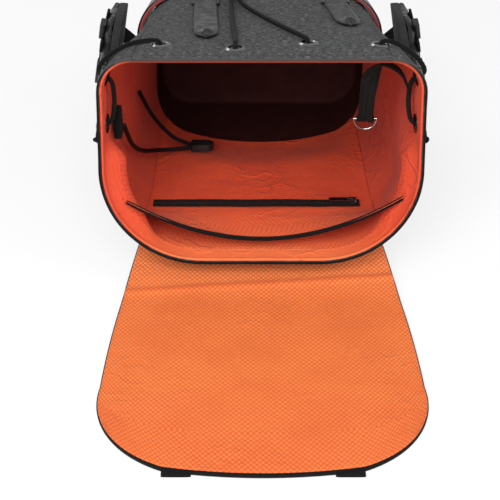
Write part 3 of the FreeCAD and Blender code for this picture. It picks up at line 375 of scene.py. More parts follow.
class Finish:
    """One material, with short calls that add the nodes of its pattern."""

    def __init__(self, name, shade, roughness, **sockets):
        """Start from the shader's own sockets."""
        self.material = bpy.data.materials.new(name)
        self.material.use_nodes = True
        self.tree = self.material.node_tree
        self.shader = self.tree.nodes["Principled BSDF"]
        for socket, value in {"Base_Color": (*shade, 1), "Roughness": roughness, **sockets}.items():
            self.shader.inputs[socket.replace("_", " ")].default_value = value
        FINISHES[name] = self.material

    def add(self, kind, inputs=None, **settings):
        """Add a node; an input may be a number, a colour or another node's output."""
        node = self.tree.nodes.new("ShaderNode" + kind)
        for name, value in settings.items():
            setattr(node, name, value)
        for key, value in (inputs or {}).items():
            if isinstance(value, bpy.types.NodeSocket):
                self.tree.links.new(value, node.inputs[key])
            else:
                node.inputs[key].default_value = value
        return node

    def maths(self, operation, *values):
        """Add one step of arithmetic and give its result."""
        return self.add("Math", dict(enumerate(values)), operation=operation).outputs[0]

    def plus(self, a, b):
        """Add two values."""
        return self.maths("ADD", a, b)

    def times(self, a, b):
        """Multiply two values."""
        return self.maths("MULTIPLY", a, b)

    def waves(self, value, period):
        """Give a wave along a value."""
        return self.maths("SINE", self.times(value, TURN / period))

    def slants(self, across, down):
        """Give two coordinates that cross each other at a slant."""
        return [self.maths(operation, across, down) for operation in ("ADD", "SUBTRACT")]

    def chart(self):
        """Give the place on the cloth and its two coordinates in metres."""
        place = self.add("UVMap", uv_map="UVMap")
        split = self.add("SeparateXYZ", {0: place.outputs[0]})
        return place.outputs[0], split.outputs[0], split.outputs[1]

    def solid_place(self):
        """Give the coordinates inside the piece in metres."""
        return self.add("TexCoord").outputs["Object"]

    def speckle(self, place, scale, detail=3.0, stretch=(1, 1, 1)):
        """Give a noise pattern over a place, stretched if asked."""
        turned = self.add("Mapping", {"Vector": place, "Scale": stretch}).outputs[0]
        return self.add("TexNoise", {"Vector": turned, "Scale": scale, "Detail": detail,
                                     "Roughness": 0.55}).outputs[0]

    def ramp(self, value, low, high, start=0.0, end=1.0):
        """Stretch a value from one range to another and keep it inside."""
        return self.add("MapRange", {"Value": value, "From Min": low, "From Max": high, "To Min": start,
                                     "To Max": end}, interpolation_type="SMOOTHSTEP").outputs[0]

    def blend(self, share, first, second):
        """Mix two colours."""
        first, second = [tone if isinstance(tone, bpy.types.NodeSocket) else (*tone, 1)
                         for tone in (first, second)]
        return self.add("Mix", {"Factor": share, "A": first, "B": second}, data_type="RGBA").outputs[2]

    def paint(self, share, first, second):
        """Colour the shader with a mix of two colours."""
        self.tree.links.new(self.blend(share, first, second), self.shader.inputs["Base Color"])

    def rough(self, value, low, high, start, end):
        """Vary the shader's roughness with a value."""
        self.tree.links.new(self.ramp(value, low, high, start, end), self.shader.inputs["Roughness"])

    def relief(self, height, distance):
        """Send a height pattern, in metres, to the shader's normal."""
        bump = self.add("Bump", {"Height": height, "Distance": distance, "Strength": 1.0})
        self.tree.links.new(bump.outputs[0], self.shader.inputs["Normal"])


def make_finishes():
    """Make every material of the backpack."""
    tones = bpy.context.scene.backpack_colours
    # The bag's lining is the same ripstop as the lid's, painted darker and redder as shade.
    ripstop_finish("orange_ripstop", tones.lining, tones.lining_shade, 0.55, 1.8, LINING_LIGHT_AND_SHADE)
    ripstop_finish("lid_ripstop", tones.lid, tones.lid_shade, 1.0, 0.7, LID_LIGHT_AND_SHADE)
    heather_finish(tones.heather_dark, tones.heather_light)
    leather_finish(tones.leather)
    webbing_finish(tones.webbing, bpy.context.scene.backpack_sizes.rib)
    cord_finish(tones.webbing)
    mesh_finish(tones.mesh)
    # The bottom cloth's near-black tone is painted shade.
    painted_shade_lining_finish(tones.dark_lining)
    piping_finish(tones.piping)
    zip_finish(tones.webbing)
    plastic_finish(tones.plastic)
    metal_finish("nickel", tones.nickel, 0.13)
    metal_finish("black_metal", tones.snap, 0.3)
    thread_finish("black_thread", tones.webbing)
    thread_finish("grey_thread", (0.05, 0.05, 0.052))


# Painted light and shade: each row below paints a tone that stands for light falling in or for shade, zone by
# zone.
# tone, then the ramps whose product is its share: what is measured, from, to, share before and share after;
# "far" counts to either side of the middle, "down" along the cloth and "fold" away from the lid's fold
# Painted light on the hem and the cloth just inside the mouth, in the first two rows.
LINING_LIGHT_AND_SHADE = (("facing", ("far", 0.3, 0.4, 0, 0.8), ("down", 0.03, 0.08, 1, 0)),
                ("facing", ("far", 0.13, 0.15, 0.45, 0), ("down", 0.05, 0.14, 1, 0)),
                # Painted shade on the walls beside the mouth.
                ("side_walls", ("far", 0.15, 0.17, 0, 1), ("far", 0.28, 0.37, 0.48, 0)),
                # Painted shade on the lining rolled over the front lip.
                ("rim", ("down", 0.006, 0.009, 0.9, 0), ("far", 0.12, 0.17, 1, 0)))
# Painted shade towards the lid's front edge, and painted light on the ripstop next to the lid's root.
LID_LIGHT_AND_SHADE = (("lid_front", ("down", 0.25, 0.42, 0, 0.3)), ("lid_crease", ("down", 0.07, 0.16, 0.85, 0)),
             # Painted shade along the pressed fold.
             ("lid_fold", ("fold", 0, 0.007, 0.4, 0)))
FOLD_DOWN = 0.121  # where the fold crosses the lid's middle, along its cloth


def shade_zones(cloth, tone, across, down, zones):
    """Paint light and shade into a cloth's tone, zone by zone."""
    def measure(kind):
        """Give the distance that a zone's limits are counted in."""
        if kind == "down":
            return down
        if kind == "fold":
            across_fold = cloth.maths("SUBTRACT", down, FOLD_DOWN)
            return cloth.maths("ABSOLUTE", cloth.maths("MULTIPLY_ADD", across, FOLD_LEAN, across_fold))
        return cloth.maths("ABSOLUTE", across)

    for name, *ramps in zones:
        shares = [cloth.ramp(measure(kind), *limits) for kind, *limits in ramps]
        tone = cloth.blend(functools.reduce(cloth.times, shares), tone,
                           getattr(bpy.context.scene.backpack_colours, name))
    return tone


def ripstop_finish(name, light, dark, depth, crumple, zones):
    """Make the diamond ripstop: crossed threads round small puffed cells, crumpled here and there."""
    sizes = bpy.context.scene.backpack_sizes
    cloth = Finish(name, light, 0.66, Sheen_Weight=0.04, Sheen_Roughness=0.5, Specular_IOR_Level=0.16)
    place, across, down = cloth.chart()
    lines = [cloth.maths("PINGPONG", cloth.maths("DIVIDE", slant, sizes.ripstop * 1.6), 0.5)
             for slant in cloth.slants(cloth.times(across, 1.25), down)]
    nearest = cloth.maths("MINIMUM", *lines)
    inside_hem = cloth.ramp(down, sizes.hem - 0.0004, sizes.hem + 0.0004)
    thread = cloth.times(cloth.ramp(nearest, 0.02, 0.14, 1, 0), inside_hem)
    puff = cloth.times(cloth.maths("POWER", cloth.times(nearest, 2), 0.7), inside_hem)
    mottle = cloth.ramp(cloth.speckle(place, 16, 4), 0.35, 0.68)
    slubs = cloth.ramp(cloth.speckle(place, 420, 3, (0.35, 1, 1)), 0.35, 0.7)
    grain = cloth.ramp(cloth.speckle(place, 900, 2), 0.3, 0.7)
    tone = light
    for pattern, share in ((mottle, 0.24), (slubs, 0.22), (grain, 0.12)):
        tone = cloth.blend(cloth.times(pattern, share), tone, dark)
    # The zones paint light and shade into the ripstop: lighter where light falls in, darker where shade falls.
    cloth.paint(cloth.times(thread, depth), shade_zones(cloth, tone, across, down, zones), dark)
    cloth.rough(grain, 0, 1, 0.58, 0.74)
    ridge = cloth.maths("ABSOLUTE", cloth.maths("SUBTRACT", cloth.speckle(place, 26, 2), 0.5))
    patches = cloth.ramp(cloth.speckle(place, 9, 2), 0.42, 0.62, 0, crumple)
    body = cloth.maths("MULTIPLY_ADD", slubs, 0.2, cloth.times(puff, 0.6))
    cloth.relief(cloth.maths("MULTIPLY_ADD", cloth.ramp(ridge, 0, 0.06, 1, 0), patches, body), 0.0006)


def heather_finish(dark, light):
    """Make the outer cloth: dark yarn flecked with light slubs, and plain where it is cut."""
    cloth = Finish("heather_cloth", dark, 0.86, Sheen_Weight=0.08, Sheen_Roughness=0.45,
                   Specular_IOR_Level=0.2)
    place, across, down = cloth.chart()
    weft = cloth.ramp(cloth.speckle(place, 950, 3, (0.2, 1, 1)), 0.46, 0.6)
    warp = cloth.ramp(cloth.speckle(place, 800, 3, (1, 0.2, 1)), 0.52, 0.68, 0, 0.6)
    cloudy = cloth.ramp(cloth.speckle(place, 60, 4), 0.3, 0.75, 0.55, 1)
    flecks = cloth.times(cloth.maths("MAXIMUM", weft, warp), cloudy)
    flecks = cloth.times(flecks, cloth.ramp(down, 0, 0.0005, 0, 1))
    cloth.paint(cloth.maths("MAXIMUM", flecks, cloth.ramp(down, 0, 0.0003, 0.2, 0)), dark, light)
    weave = [cloth.waves(direction, 0.0011) for direction in (across, down)]
    cloth.relief(cloth.plus(cloth.times(*weave), cloth.times(flecks, 0.8)), 0.00025)


def leather_finish(tone):
    """Make coated leather with a fine pebbled grain and lighter scuffed patches."""
    hide = Finish("black_leather", tone, 0.3, Specular_IOR_Level=0.2, Coat_Weight=0.05, Coat_Roughness=0.25)
    place = hide.solid_place()
    pebbles = hide.add("TexVoronoi", {"Vector": place, "Scale": 900.0}, feature="F1").outputs["Distance"]
    creases = hide.speckle(place, 90, 5)
    hide.relief(hide.plus(hide.times(pebbles, 0.5), creases), 0.0003)
    hide.rough(creases, 0.3, 0.7, 0.24, 0.44)
    hide.paint(hide.ramp(hide.speckle(place, 240, 4), 0.5, 0.8, 0, 0.6), tone, tinted(tone, 2, 0.002))


def webbing_finish(tone, rib):
    """Make woven webbing whose ribs run across it."""
    tape = Finish("black_webbing", tone, 0.8, Sheen_Weight=0.02, Sheen_Roughness=0.4, Specular_IOR_Level=0.12)
    place, across, down = tape.chart()
    ribs = tape.waves(tape.plus(down, tape.maths("PINGPONG", across, 0.003)), rib)
    fuzz = tape.speckle(place, 2200, 2)
    tape.relief(tape.plus(ribs, tape.times(fuzz, 0.7)), 0.0003)
    tape.paint(tape.ramp(tape.plus(ribs, fuzz), 0.2, 1.5, 0, 0.8), tone, tinted(tone, 2.4, 0.0015))


def cord_finish(tone):
    """Make the braided cord's sheath; its strands are in the mesh."""
    cord = Finish("black_cord", tone, 0.45, Specular_IOR_Level=0.14)
    place, across, down = cord.chart()
    slants = cord.slants(cord.times(across, 1664), cord.times(down, 1900))
    raised = cord.times(*[cord.maths("SINE", slant) for slant in slants])
    cord.relief(cord.maths("MULTIPLY_ADD", cord.speckle(place, 2600, 3), 0.3, raised), 0.0004)
    # Painted highlight: the crests of the braid's strands are painted lighter, where light catches them.
    cord.paint(cord.ramp(raised, 0.6, 0.98), tone, tinted(tone, 12, 0.006))


def mesh_finish(tone):
    """Make spacer mesh: a lattice of round holes in knitted cloth."""
    knit = Finish("mesh_pad", tone, 0.9, Sheen_Weight=0.04, Sheen_Roughness=0.5, Specular_IOR_Level=0.2)
    place = knit.solid_place()
    cells = knit.add("TexVoronoi", {"Vector": place, "Scale": 330.0, "Randomness": 0.15}, feature="F1")
    hole = knit.ramp(cells.outputs["Distance"], 0.18, 0.36)
    fuzz = knit.speckle(place, 1500, 3)
    knit.relief(knit.plus(hole, knit.times(fuzz, 0.3)), 0.0006)
    yarn = knit.blend(knit.ramp(fuzz, 0.3, 0.7), tone, tinted(tone, 2.6, 0.01))
    # Painted shade: the middle of each hole is painted four times darker, for the shade inside it.
    knit.paint(hole, tinted(tone, 0.25), yarn)


def painted_shade_lining_finish(tone):
    """Make the cloth at the bottom of the bag, painted near black as shade for the deep end that light hardly
    reaches; it is a little lighter where its folds rise.
    """
    cloth = Finish("dark_lining", tone, 0.8, Specular_IOR_Level=0.1)
    place = cloth.solid_place()
    folds = cloth.speckle(place, 40, 4)
    cloth.relief(cloth.plus(folds, cloth.times(cloth.speckle(place, 1400, 2), 0.3)), 0.0008)
    cloth.paint(cloth.ramp(folds, 0.35, 0.7), tone, tinted(tone, 1.3))


def piping_finish(tone):
    """Make the red piping's woven cover."""
    tape = Finish("red_piping", tone, 0.6, Sheen_Weight=0.2)
    _, across, down = tape.chart()
    twill = tape.waves(tape.plus(across, down), 0.0012)
    tape.relief(twill, 0.0002)
    tape.paint(tape.ramp(twill, -0.6, 0.9, 0.5, 0), tone, tinted(tone, 0.45))


def zip_finish(tone):
    """Make the herringbone tape of the zip."""
    tape = Finish("zip_fabric", tone, 0.7, Sheen_Weight=0.02, Specular_IOR_Level=0.12)
    _, across, down = tape.chart()
    herring = tape.waves(tape.plus(across, tape.maths("PINGPONG", down, 0.0012)), 0.001)
    tape.relief(herring, 0.00015)
    tape.paint(tape.ramp(herring, 0, 1, 0, 0.7), tone, tinted(tone, 2.5, 0.002))


def plastic_finish(tone):
    """Make moulded plastic with a fine spark-eroded texture."""
    part = Finish("black_plastic", tone, 0.42, Specular_IOR_Level=0.5)
    place = part.solid_place()
    worn = part.speckle(place, 70, 3)
    part.relief(part.speckle(place, 1600, 3), 0.00012)
    part.rough(worn, 0.3, 0.7, 0.34, 0.5)
    part.paint(part.ramp(worn, 0.5, 0.8, 0, 0.5), tone, tinted(tone, 2, 0.004))


def metal_finish(name, tone, roughness):
    """Make plated metal with faint rubbed marks."""
    plate = Finish(name, tone, roughness, Metallic=1.0)
    rubbed = plate.speckle(plate.solid_place(), 420, 4, (1, 0.3, 1))
    plate.rough(rubbed, 0.3, 0.7, roughness * 0.7, roughness * 1.5)
    plate.relief(rubbed, 0.00004)
    plate.paint(plate.ramp(rubbed, 0.45, 0.75, 0, 0.6), tone, tinted(tone, 0.72))


def thread_finish(name, tone):
    """Make sewing thread."""
    thread = Finish(name, tone, 0.6, Sheen_Weight=0.2)
    thread.paint(thread.speckle(thread.solid_place(), 3000, 2), tone, tinted(tone, 1.6, 0.03))


# ------------------------------------------------------------------ tubes, cords and sewing
def frames_along(line, across=None):
    """Give each point of a line its direction and two steady directions across it."""
    line = [Vector(spot) for spot in line]
    found, side = [], across and Vector(across)
    for index, spot in enumerate(line):
        before, after = line[max(0, index - 1)], line[min(len(line) - 1, index + 1)]
        way = (after - before).normalized()
        side = side or way.orthogonal()
        side = (side - way * side.dot(way)).normalized()
        found.append((spot, way, side, way.cross(side)))
    return found


def evenly(line, step):
    """Place points on a line at equal steps."""
    walked, line = walked_along(line), np.array([list(spot) for spot in line])
    stops = np.linspace(0, walked[-1], max(2, round(walked[-1] / step)) + 1)
    return [Vector([np.interp(stop, walked, line[:, axis]) for axis in range(3)]) for stop in stops]


def spline_line(name, route, step=0.0007):
    """Read the smooth spline that a route's chosen points steer."""
    curve = bpy.data.curves.new(name, "CURVE")
    curve.dimensions = "3D"
    spline = curve.splines.new("NURBS")
    spline.points.add(len(route) - 1)
    for knot, spot in zip(spline.points, route):
        knot.co = (*point(*spot), 1)
    spline.order_u = 3
    spline.use_endpoint_u = True
    spline.resolution_u = 16
    holder = bpy.data.objects.new(name, curve)
    drawn = bpy.data.meshes.new_from_object(holder)
    line = evenly([vert.co for vert in drawn.vertices], step)
    bpy.data.objects.remove(holder)
    bpy.data.curves.remove(curve)
    bpy.data.meshes.remove(drawn)
    return line


def squarish(angle, power):
    """Give the sine of an angle, drawn towards 1 so that a round section grows corners."""
    return math.copysign(abs(math.sin(angle)) ** power, math.sin(angle))


def tube_mesh(line, radius_at, around=16, closed=False):
    """Wrap a tube round a line; radius_at gives its radius at an angle and a distance along."""
    rings, walked = frames_along(line), walked_along(line)

    def where(turn, share):
        """Place one point of the tube."""
        index = round(share * (len(rings) - 1))
        spot, _, side, up = rings[0 if closed and index == len(rings) - 1 else index]
        angle = TURN * turn
        return spot + (side * math.cos(angle) + up * math.sin(angle)) * radius_at(angle, walked[index])

    return closed_tube(sheet_mesh(around, len(line) - 1, where, wrap=True))


def tongue(left, width):
    """Give half the width of a strap with a long rounded end, at a distance from its tip."""
    taper = max(0, 1 - left / (width * 1.1))
    return width / 2 * math.sqrt(max(1e-4, 1 - taper * taper))


def strap_mesh(line, across, width, thick, rounded=False, groove=0.0, around=32, twist=None):
    """Wrap a flat strap round a line; across is the way its width lies where it starts."""
    rings, walked = frames_along(line, across), walked_along(line)

    def where(turn, share):
        """Place one point of the strap."""
        index = round(share * (len(rings) - 1))
        spot, way, side, up = rings[index]
        if twist:
            side = Matrix.Rotation(twist(share), 3, way) @ side
            up = way.cross(side)
        left = walked[-1] - walked[index]
        half = tongue(left, width) if rounded else width / 2
        angle = TURN * turn
        wide = squarish(angle + TURN / 4, 0.4) * half
        rim = min(half - abs(wide), max(0, left))
        tall = squarish(angle, 0.55) * thick / 2 * (1 - groove * bell(rim - 0.0026, 0.0007))
        return spot + side * wide + up * tall

    return closed_tube(sheet_mesh(around, len(line) - 1, where, wrap=True))


def closed_tube(bm):
    """Close the open ends of a tube and turn its faces outwards."""
    bmesh.ops.holes_fill(bm, edges=[edge for edge in bm.edges if edge.is_boundary], sides=0)
    bmesh.ops.recalc_face_normals(bm, faces=bm.faces)
    return bm


def braid(radius, strands=4):
    """Give the rule for a braided surface: strands that cross in two directions."""
    def radius_at(angle, distance):
        """Raise the surface over each strand."""
        along = strands / radius * distance
        raised = max(math.cos(strands * angle + along), math.cos(strands * angle - along))
        return radius * (0.965 + 0.05 * raised)

    return radius_at


def sew(name, lines, finish, body, outward, slot="black_webbing"):
    """Lay a row of stitches along each line, a little proud of the cloth."""
    sizes = bpy.context.scene.backpack_sizes
    bm = bmesh.new()
    half, radius = sizes.stitch * 0.36, sizes.thread / 2
    for line in lines:
        for spot, way, _, _ in frames_along(evenly(line, sizes.stitch)):
            up = outward(spot)
            side = way.cross(up).normalized()
            turn = Matrix((way, side, way.cross(side))).transposed().to_4x4()
            size = Matrix.Diagonal((half, radius, radius, 1))
            bmesh.ops.create_icosphere(bm, subdivisions=1, radius=1,
                                       matrix=Matrix.Translation(spot + up * radius * 0.5) @ turn @ size)
    return new_piece(name, bm, finish, body, slot=slot)


# ------------------------------------------------------------------ the stage
class BACKPACK_OT_stage(bpy.types.Operator):
    """Set up the camera, the lamps, the pale floor and the room"""

    bl_idname = "backpack.stage"
    bl_label = "Studio"

    def execute(self, context):
        """Build the studio round the backpack."""
        studio = context.scene.backpack_studio
        camera = bpy.data.objects.new("Camera", bpy.data.cameras.new("Camera"))
        camera.location = (-0.0114, -1.514, 0.806)
        camera.rotation_euler = (math.radians(59), 0, 0)
        camera.data.lens = 104.4
        context.scene.collection.objects.link(camera)
        context.scene.camera = camera
        context.scene.view_settings.view_transform = "Standard"
        lamps = (("Key", studio.key, 1.5, (-0.3, -1.9, 1.25)), ("Fill", studio.fill, 1.2, (1.4, -0.9, 1.1)),
                 ("Back", studio.back, 0.9, (-1.0, 1.0, 1.3)))
        for name, power, size, place in lamps:
            lamp = bpy.data.objects.new(name, bpy.data.lights.new(name, "AREA"))
            lamp.data.energy = power
            lamp.data.size = size
            lamp.location = place
            lamp.rotation_euler = (Vector(place) - Vector((0, -0.1, 0.05))).to_track_quat("Z", "Y").to_euler()
            context.scene.collection.objects.link(lamp)
        light_room(context.scene, studio.room)
        lay_floor(context.scene)
        return {"FINISHED"}


def light_room(scene, strength):
    """Light the room evenly, and show it white to the camera and in reflections."""
    world = bpy.data.worlds.new("Room")
    scene.world = world
    world.use_nodes = True
    tree = world.node_tree
    background = tree.nodes["Background"]
    background.inputs["Color"].default_value = (1, 1, 1, 1)
    path, seen, level = [tree.nodes.new("ShaderNode" + kind) for kind in ("LightPath", "Math", "MapRange")]
    seen.operation = "MAXIMUM"
    level.inputs["To Min"].default_value = strength
    level.inputs["To Max"].default_value = 1
    for source, target in ((path.outputs["Is Camera Ray"], seen.inputs[0]),
                           (path.outputs["Is Transmission Ray"], seen.inputs[1]),
                           (seen.outputs[0], level.inputs["Value"]),
                           (level.outputs[0], background.inputs["Strength"])):
        tree.links.new(source, target)


OWN_WHITE = 0.72  # share of the floor that shows its own white, so that the rest can take a shadow


def lay_floor(scene):
    """Lay a wide white floor that shows white and keeps the backpack's shadow."""
    bm = bmesh.new()
    bmesh.ops.create_grid(bm, x_segments=4, y_segments=4, size=12)
    mesh = bpy.data.meshes.new("Floor")
    bm.to_mesh(mesh)
    bm.free()
    floor = bpy.data.objects.new("Floor", mesh)
    scene.collection.objects.link(floor)
    paper = Finish("Paper", (0.92, 0.92, 0.92), 0.9, Specular_IOR_Level=0.1)
    glow = paper.add("Emission", {"Color": (1, 1, 1, 1), "Strength": 1.0})
    path = paper.add("LightPath")
    seen = paper.maths("MAXIMUM", path.outputs["Is Camera Ray"], path.outputs["Is Glossy Ray"])
    mixed = paper.add("MixShader", {0: paper.times(seen, OWN_WHITE), 1: paper.shader.outputs[0],
                                    2: glow.outputs[0]})
    paper.tree.links.new(mixed.outputs[0], paper.tree.nodes["Material Output"].inputs["Surface"])
    mesh.materials.append(paper.material)


# ------------------------------------------------------------------ cords
DRAWCORD_LEFT = (
    (-37, 374, 195.2), (-35.5, 356, 196.8), (-33.5, 338, 201), (-33, 319, 206), (-33, 282, 211.5),
    (-32.5, 252, 211.9), (-31.5, 215, 217), (-30, 172, 224.9), (-28.5, 130, 232.8), (-27, 100, 238.4),
    (-26, 80, 242.4), (-26, 62.7, 245.2), (-26, 60.8, 232), (-42, 59, 230.6), (-62, 63, 230),
    (-84, 71, 229.4), (-100, 74.7, 230.2), (-100, 76.7, 243.4), (-114, 77.5, 243), (-130, 75, 241),
    (-143, 70.5, 236), (-156.2, 65.4, 228.4), (-164, 57.2, 216.6), (-148.6, 55.4, 211.6),
    (-146.5, 53, 197), (-146.5, 50.5, 182), (-150.2, 47.3, 166), (-163.6, 48.4, 166), (-164.8, 47.5, 150))
DRAWCORD_RIGHT = (
    (-23, 374, 195.2), (-24.5, 356, 196.8), (-26.5, 338, 201), (-27, 319, 206), (-27, 282, 211.5),
    (-20, 254, 212), (-4.5, 215, 217.2), (12, 172, 225), (27, 132, 232.8), (40, 100, 239.2),
    (47, 81.7, 242.6), (47, 79.7, 229.4), (62, 77, 228.6), (82, 73.5, 228), (102, 73, 228.8),
    (118, 74.7, 230.2), (118, 76.7, 243.4), (132, 76, 242), (145, 71, 236), (156.6, 65.4, 228.2),
    (164, 57.2, 216.6), (148.6, 55.4, 211.6), (146.5, 53, 197), (146.5, 50.5, 182), (150.2, 47.3, 166),
    (163.6, 48.4, 166), (164.8, 47.5, 150))
LEASH_STRAP = ((-141, 84, 146), (-139, 112, 114), (-135, 146, 87), (-128, 182, 66), (-116, 214, 51),
               (-98, 232, 43), (-80, 240, 41.5))
LEASH_RETURN = ((-80, 247, 41.8), (-96, 247, 47), (-108, 240, 62), (-119, 229, 82), (-128, 217, 105),
                (-134, 205, 128))
CORD_RADIUS = 0.0024


def overhand_knot(centre, way, size):
    """Tie one small overhand knot about a cord's direction."""
    side = way.orthogonal().normalized()
    up = way.cross(side)
    line = []
    for step in range(91):
        angle = TURN * step / 90
        line.append(centre + size * (side * (math.sin(angle) + 2 * math.sin(2 * angle))
                                     + up * (math.cos(angle) - 2 * math.cos(2 * angle))
                                     - way * 1.1 * math.sin(3 * angle)))
    return tube_mesh(line, braid(0.0019), 12, closed=True)


class BACKPACK_OT_cords(bpy.types.Operator):
    """Lay the two braided drawcords with their knots, and the leash inside"""

    bl_idname = "backpack.cords"
    bl_label = "Cords"

    def execute(self, context):
        for name, route in (("drawcord_left", DRAWCORD_LEFT), ("drawcord_right", DRAWCORD_RIGHT),
                            ("leash_strap", LEASH_STRAP), ("leash_return", LEASH_RETURN)):
            line = spline_line(name, route)
            cord = new_piece(f"{name}_braid", tube_mesh(line, braid(CORD_RADIUS), 20), "black_cord", PACK, name)
            knotted = name.startswith("drawcord")
            knots = [self.tie_ends(name, line)] if knotted else []
            float(walked_along(line)[-1])
        return {"FINISHED"}

    def tie_ends(self, name, line):
        """Tie a knot at each end of a cord."""
        knots = bmesh.new()
        for end, inner in ((line[0], line[6]), (line[-1], line[-7])):
            way = (end - inner).normalized()
            tied = overhand_knot(end + way * 0.002, way, 0.00105)
            loop = bpy.data.meshes.new("knot")
            tied.to_mesh(loop)
            tied.free()
            knots.from_mesh(loop)
            bpy.data.meshes.remove(loop)
        return new_piece(f"{name}_knots", knots, "black_cord", PACK, *first_of(line[-1].x, "cord_knots"))


# ------------------------------------------------------------------ outer cloth
FRONT_EYELETS = ((-100, 76), (-26, 62), (47, 81), (118, 76))
SIDE_EYELETS = ((56, 214), (48, 166))
BORE = 0.0075  # how far an eyelet pushes the cloth aside, in metres


def eyelet_seats(inset):
    """List where each eyelet's middle meets the cloth at an inset from the outside."""
    seats = [point(*skin(share_at(x, deep), deep, -inset)) for x, deep in FRONT_EYELETS]
    for deep, z in SIDE_EYELETS:
        seats += [point(*skin(on_side(side, share_at_height(z, deep)), deep, -inset)) for side in (1, -1)]
    return seats


def part_round(spot, seats, reach=0.016):
    """Push a point of the cloth aside from the eyelet that pierces it there."""
    for seat in seats:
        away = spot - seat
        far = away.length
        if 1e-6 < far < reach:
            opened = math.sqrt(far * far + BORE * BORE * (1 - (far / reach) ** 2))
            return seat + away * (opened / far)
    return spot


def calm_near(spot, seats, reach=0.022):
    """Fade a wrinkle away near the eyelets."""
    nearest = min((spot - seat).length for seat in seats)
    return smooth(0.4 * reach, reach, nearest)


@functools.lru_cache(maxsize=None)
def seam(front, side, deep):
    """Find the share of the way round where a front or back seam runs on one side."""
    return on_side(side, share_at(mix(*(FRONT_SEAM if front else BACK_SEAM), deep / TAIL), deep, front))


# piece: seam where it starts and ends (at the front, side), columns, whether it laps over its neighbours, node
PANELS = {
    "front": (((True, 1), (True, -1)), 96, True, "front_panel"),
    "side_left": (((True, -1), (False, -1)), 84, False, "side_panel_left"),
    "side_right": (((False, 1), (True, 1)), 84, False, "side_panel_right"),
    "back": (((False, -1), (False, 1)), 60, True, "back_panel"),
}


def panel_rule(seams, seats, lapped):
    """Give the rule that places one outer panel between its two seams."""
    def where(across, down):
        """Place one point of the panel."""
        down = down ** 1.2
        start, end = [seam(*place, mix(15, TAIL, down)) for place in seams]
        share = mix(start, end + (end < start), across) % 1
        lip = mouth_deep(share)
        deep = mix(lip, TAIL + 2, down)
        flat = skin(share, deep)
        edge = min(across, 1 - across) * 250
        hem = deep - lip
        out = 0.55 * ruffle(flat, 46) + 0.35 * ruffle(flat, 19, 4) * smooth(0, 14, edge)
        out += (0.45 if lapped else -0.25) * (1 - smooth(0, 5, edge))
        out += 0.3 * ruffle((flat[0] * 0.3, flat[1], flat[2] * 0.3), 7, 9) * (1 - smooth(2, 14, edge))
        out -= 0.45 * bell(hem - HEM_SEAM, 1.3)
        out += 0.35 * (1 - smooth(6, 12, hem))
        base = point(*flat)
        spot = point(*skin(share, deep, out * calm_near(base, seats)))
        return part_round(spot, seats)

    return where


class BACKPACK_OT_outer_cloth(bpy.types.Operator):
    """Sew the outer panels, the base and the topstitching round the mouth"""

    bl_idname = "backpack.outer_cloth"
    bl_label = "Outer cloth"

    def execute(self, context):
        """Build each panel from seam to seam and from the mouth to the base."""
        seats = eyelet_seats(0)
        for name, (seams, columns, lapped, node) in PANELS.items():
            bm = sheet_mesh(columns, 96, panel_rule(seams, seats, lapped), holes=seats)
            thicken(new_piece(f"{name}_cloth", flip(bm), "heather_cloth", PACK, node), 0.0026)
        base = sheet_mesh(128, 22, base_rule, wrap=True)
        new_piece("base_cover", flip(base), "black_leather", PACK, "base_panel")
        new_piece("mouth_edge_tape", sheet_mesh(12, 240, rim_rule, wrap=True), "black_webbing", PACK)
        self.sew_mouth()
        self.sew_seams()
        return {"FINISHED"}

    def sew_mouth(self):
        """Topstitch the hem all round the mouth."""
        shares = np.linspace(0, 1, 261).tolist()
        ring = [point(*skin(share, mouth_deep(share) + HEM_SEAM, 0.15)) for share in shares]
        sew("mouth_topstitch", [ring], "black_thread", PACK, skin_outward)

    def sew_seams(self):
        """Topstitch each long seam."""
        lines = []
        for front, shift in ((True, 0.007), (False, -0.009)):
            for side in (1, -1):
                lines.append([point(*skin(seam(front, side, deep) + shift * side, deep, 0.35))
                              for deep in range(24, 404, 8)])
        sew("seam_topstitch", lines, "black_thread", PACK, skin_outward)


def rim_rule(turn, along):
    """Place one point of the narrow tape round the sides and the bottom of the mouth."""
    reach = 0.36
    share = mix(1 - reach, 1 + reach, along) % 1
    angle = TURN * turn
    thin = min(1, 12 * min(along, 1 - along) + 0.15)
    inset, ahead = 0.9 + 1.2 * thin * math.cos(angle), -0.6 + 1.5 * thin * math.sin(angle)
    return point(*skin(share, mouth_deep(share) + ahead, -inset))


def skin_outward(spot):
    """Estimate the direction out of the bag at a point near its surface."""
    x, z, deep = spot.x * 1000, spot.z * 1000, spot.y * 1000 + MOUTH_Y
    half, low, high, top_r, low_r = profile(deep)
    radius = top_r if z > (low + high) / 2 else low_r
    core_x = min(max(x, radius - half), half - radius)
    core_z = min(max(z, low + radius), high - radius)
    return Vector((x - core_x, 0, z - core_z)).normalized()


def base_rule(share, inward):
    """Place one point of the padded base, from its rounded edge to its middle."""
    edge = 0.36
    if inward < edge:
        angle = TURN / 4 * inward / edge
        x, _, z = skin(share, TAIL, 0.6 - 8 * (1 - math.cos(angle)))
        return point(x, 409 + 10.4 * math.sin(angle), z)
    left = (inward - edge) / (1 - edge)
    x, _, z = skin(share, TAIL, -7.4)
    bulge = 1.6 * math.sin(TURN * left / 4) ** 2
    return point(x * (1 - left), 419.4 + bulge, mix(z, MIDDLE_Z, left))


# ------------------------------------------------------------------ lining
INNER = 4.5
ROLL = ((1.2, 2.2), (0.3, 2.1), (-0.4, 2.4), (-0.7, 3.1), (-0.5, 3.9), (0.2, 4.5), (1.6, 4.7))
# Where the cloth painted dark as shade begins: a circle in plan.
DARK_CENTRE, DARK_RADIUS = 445, 155


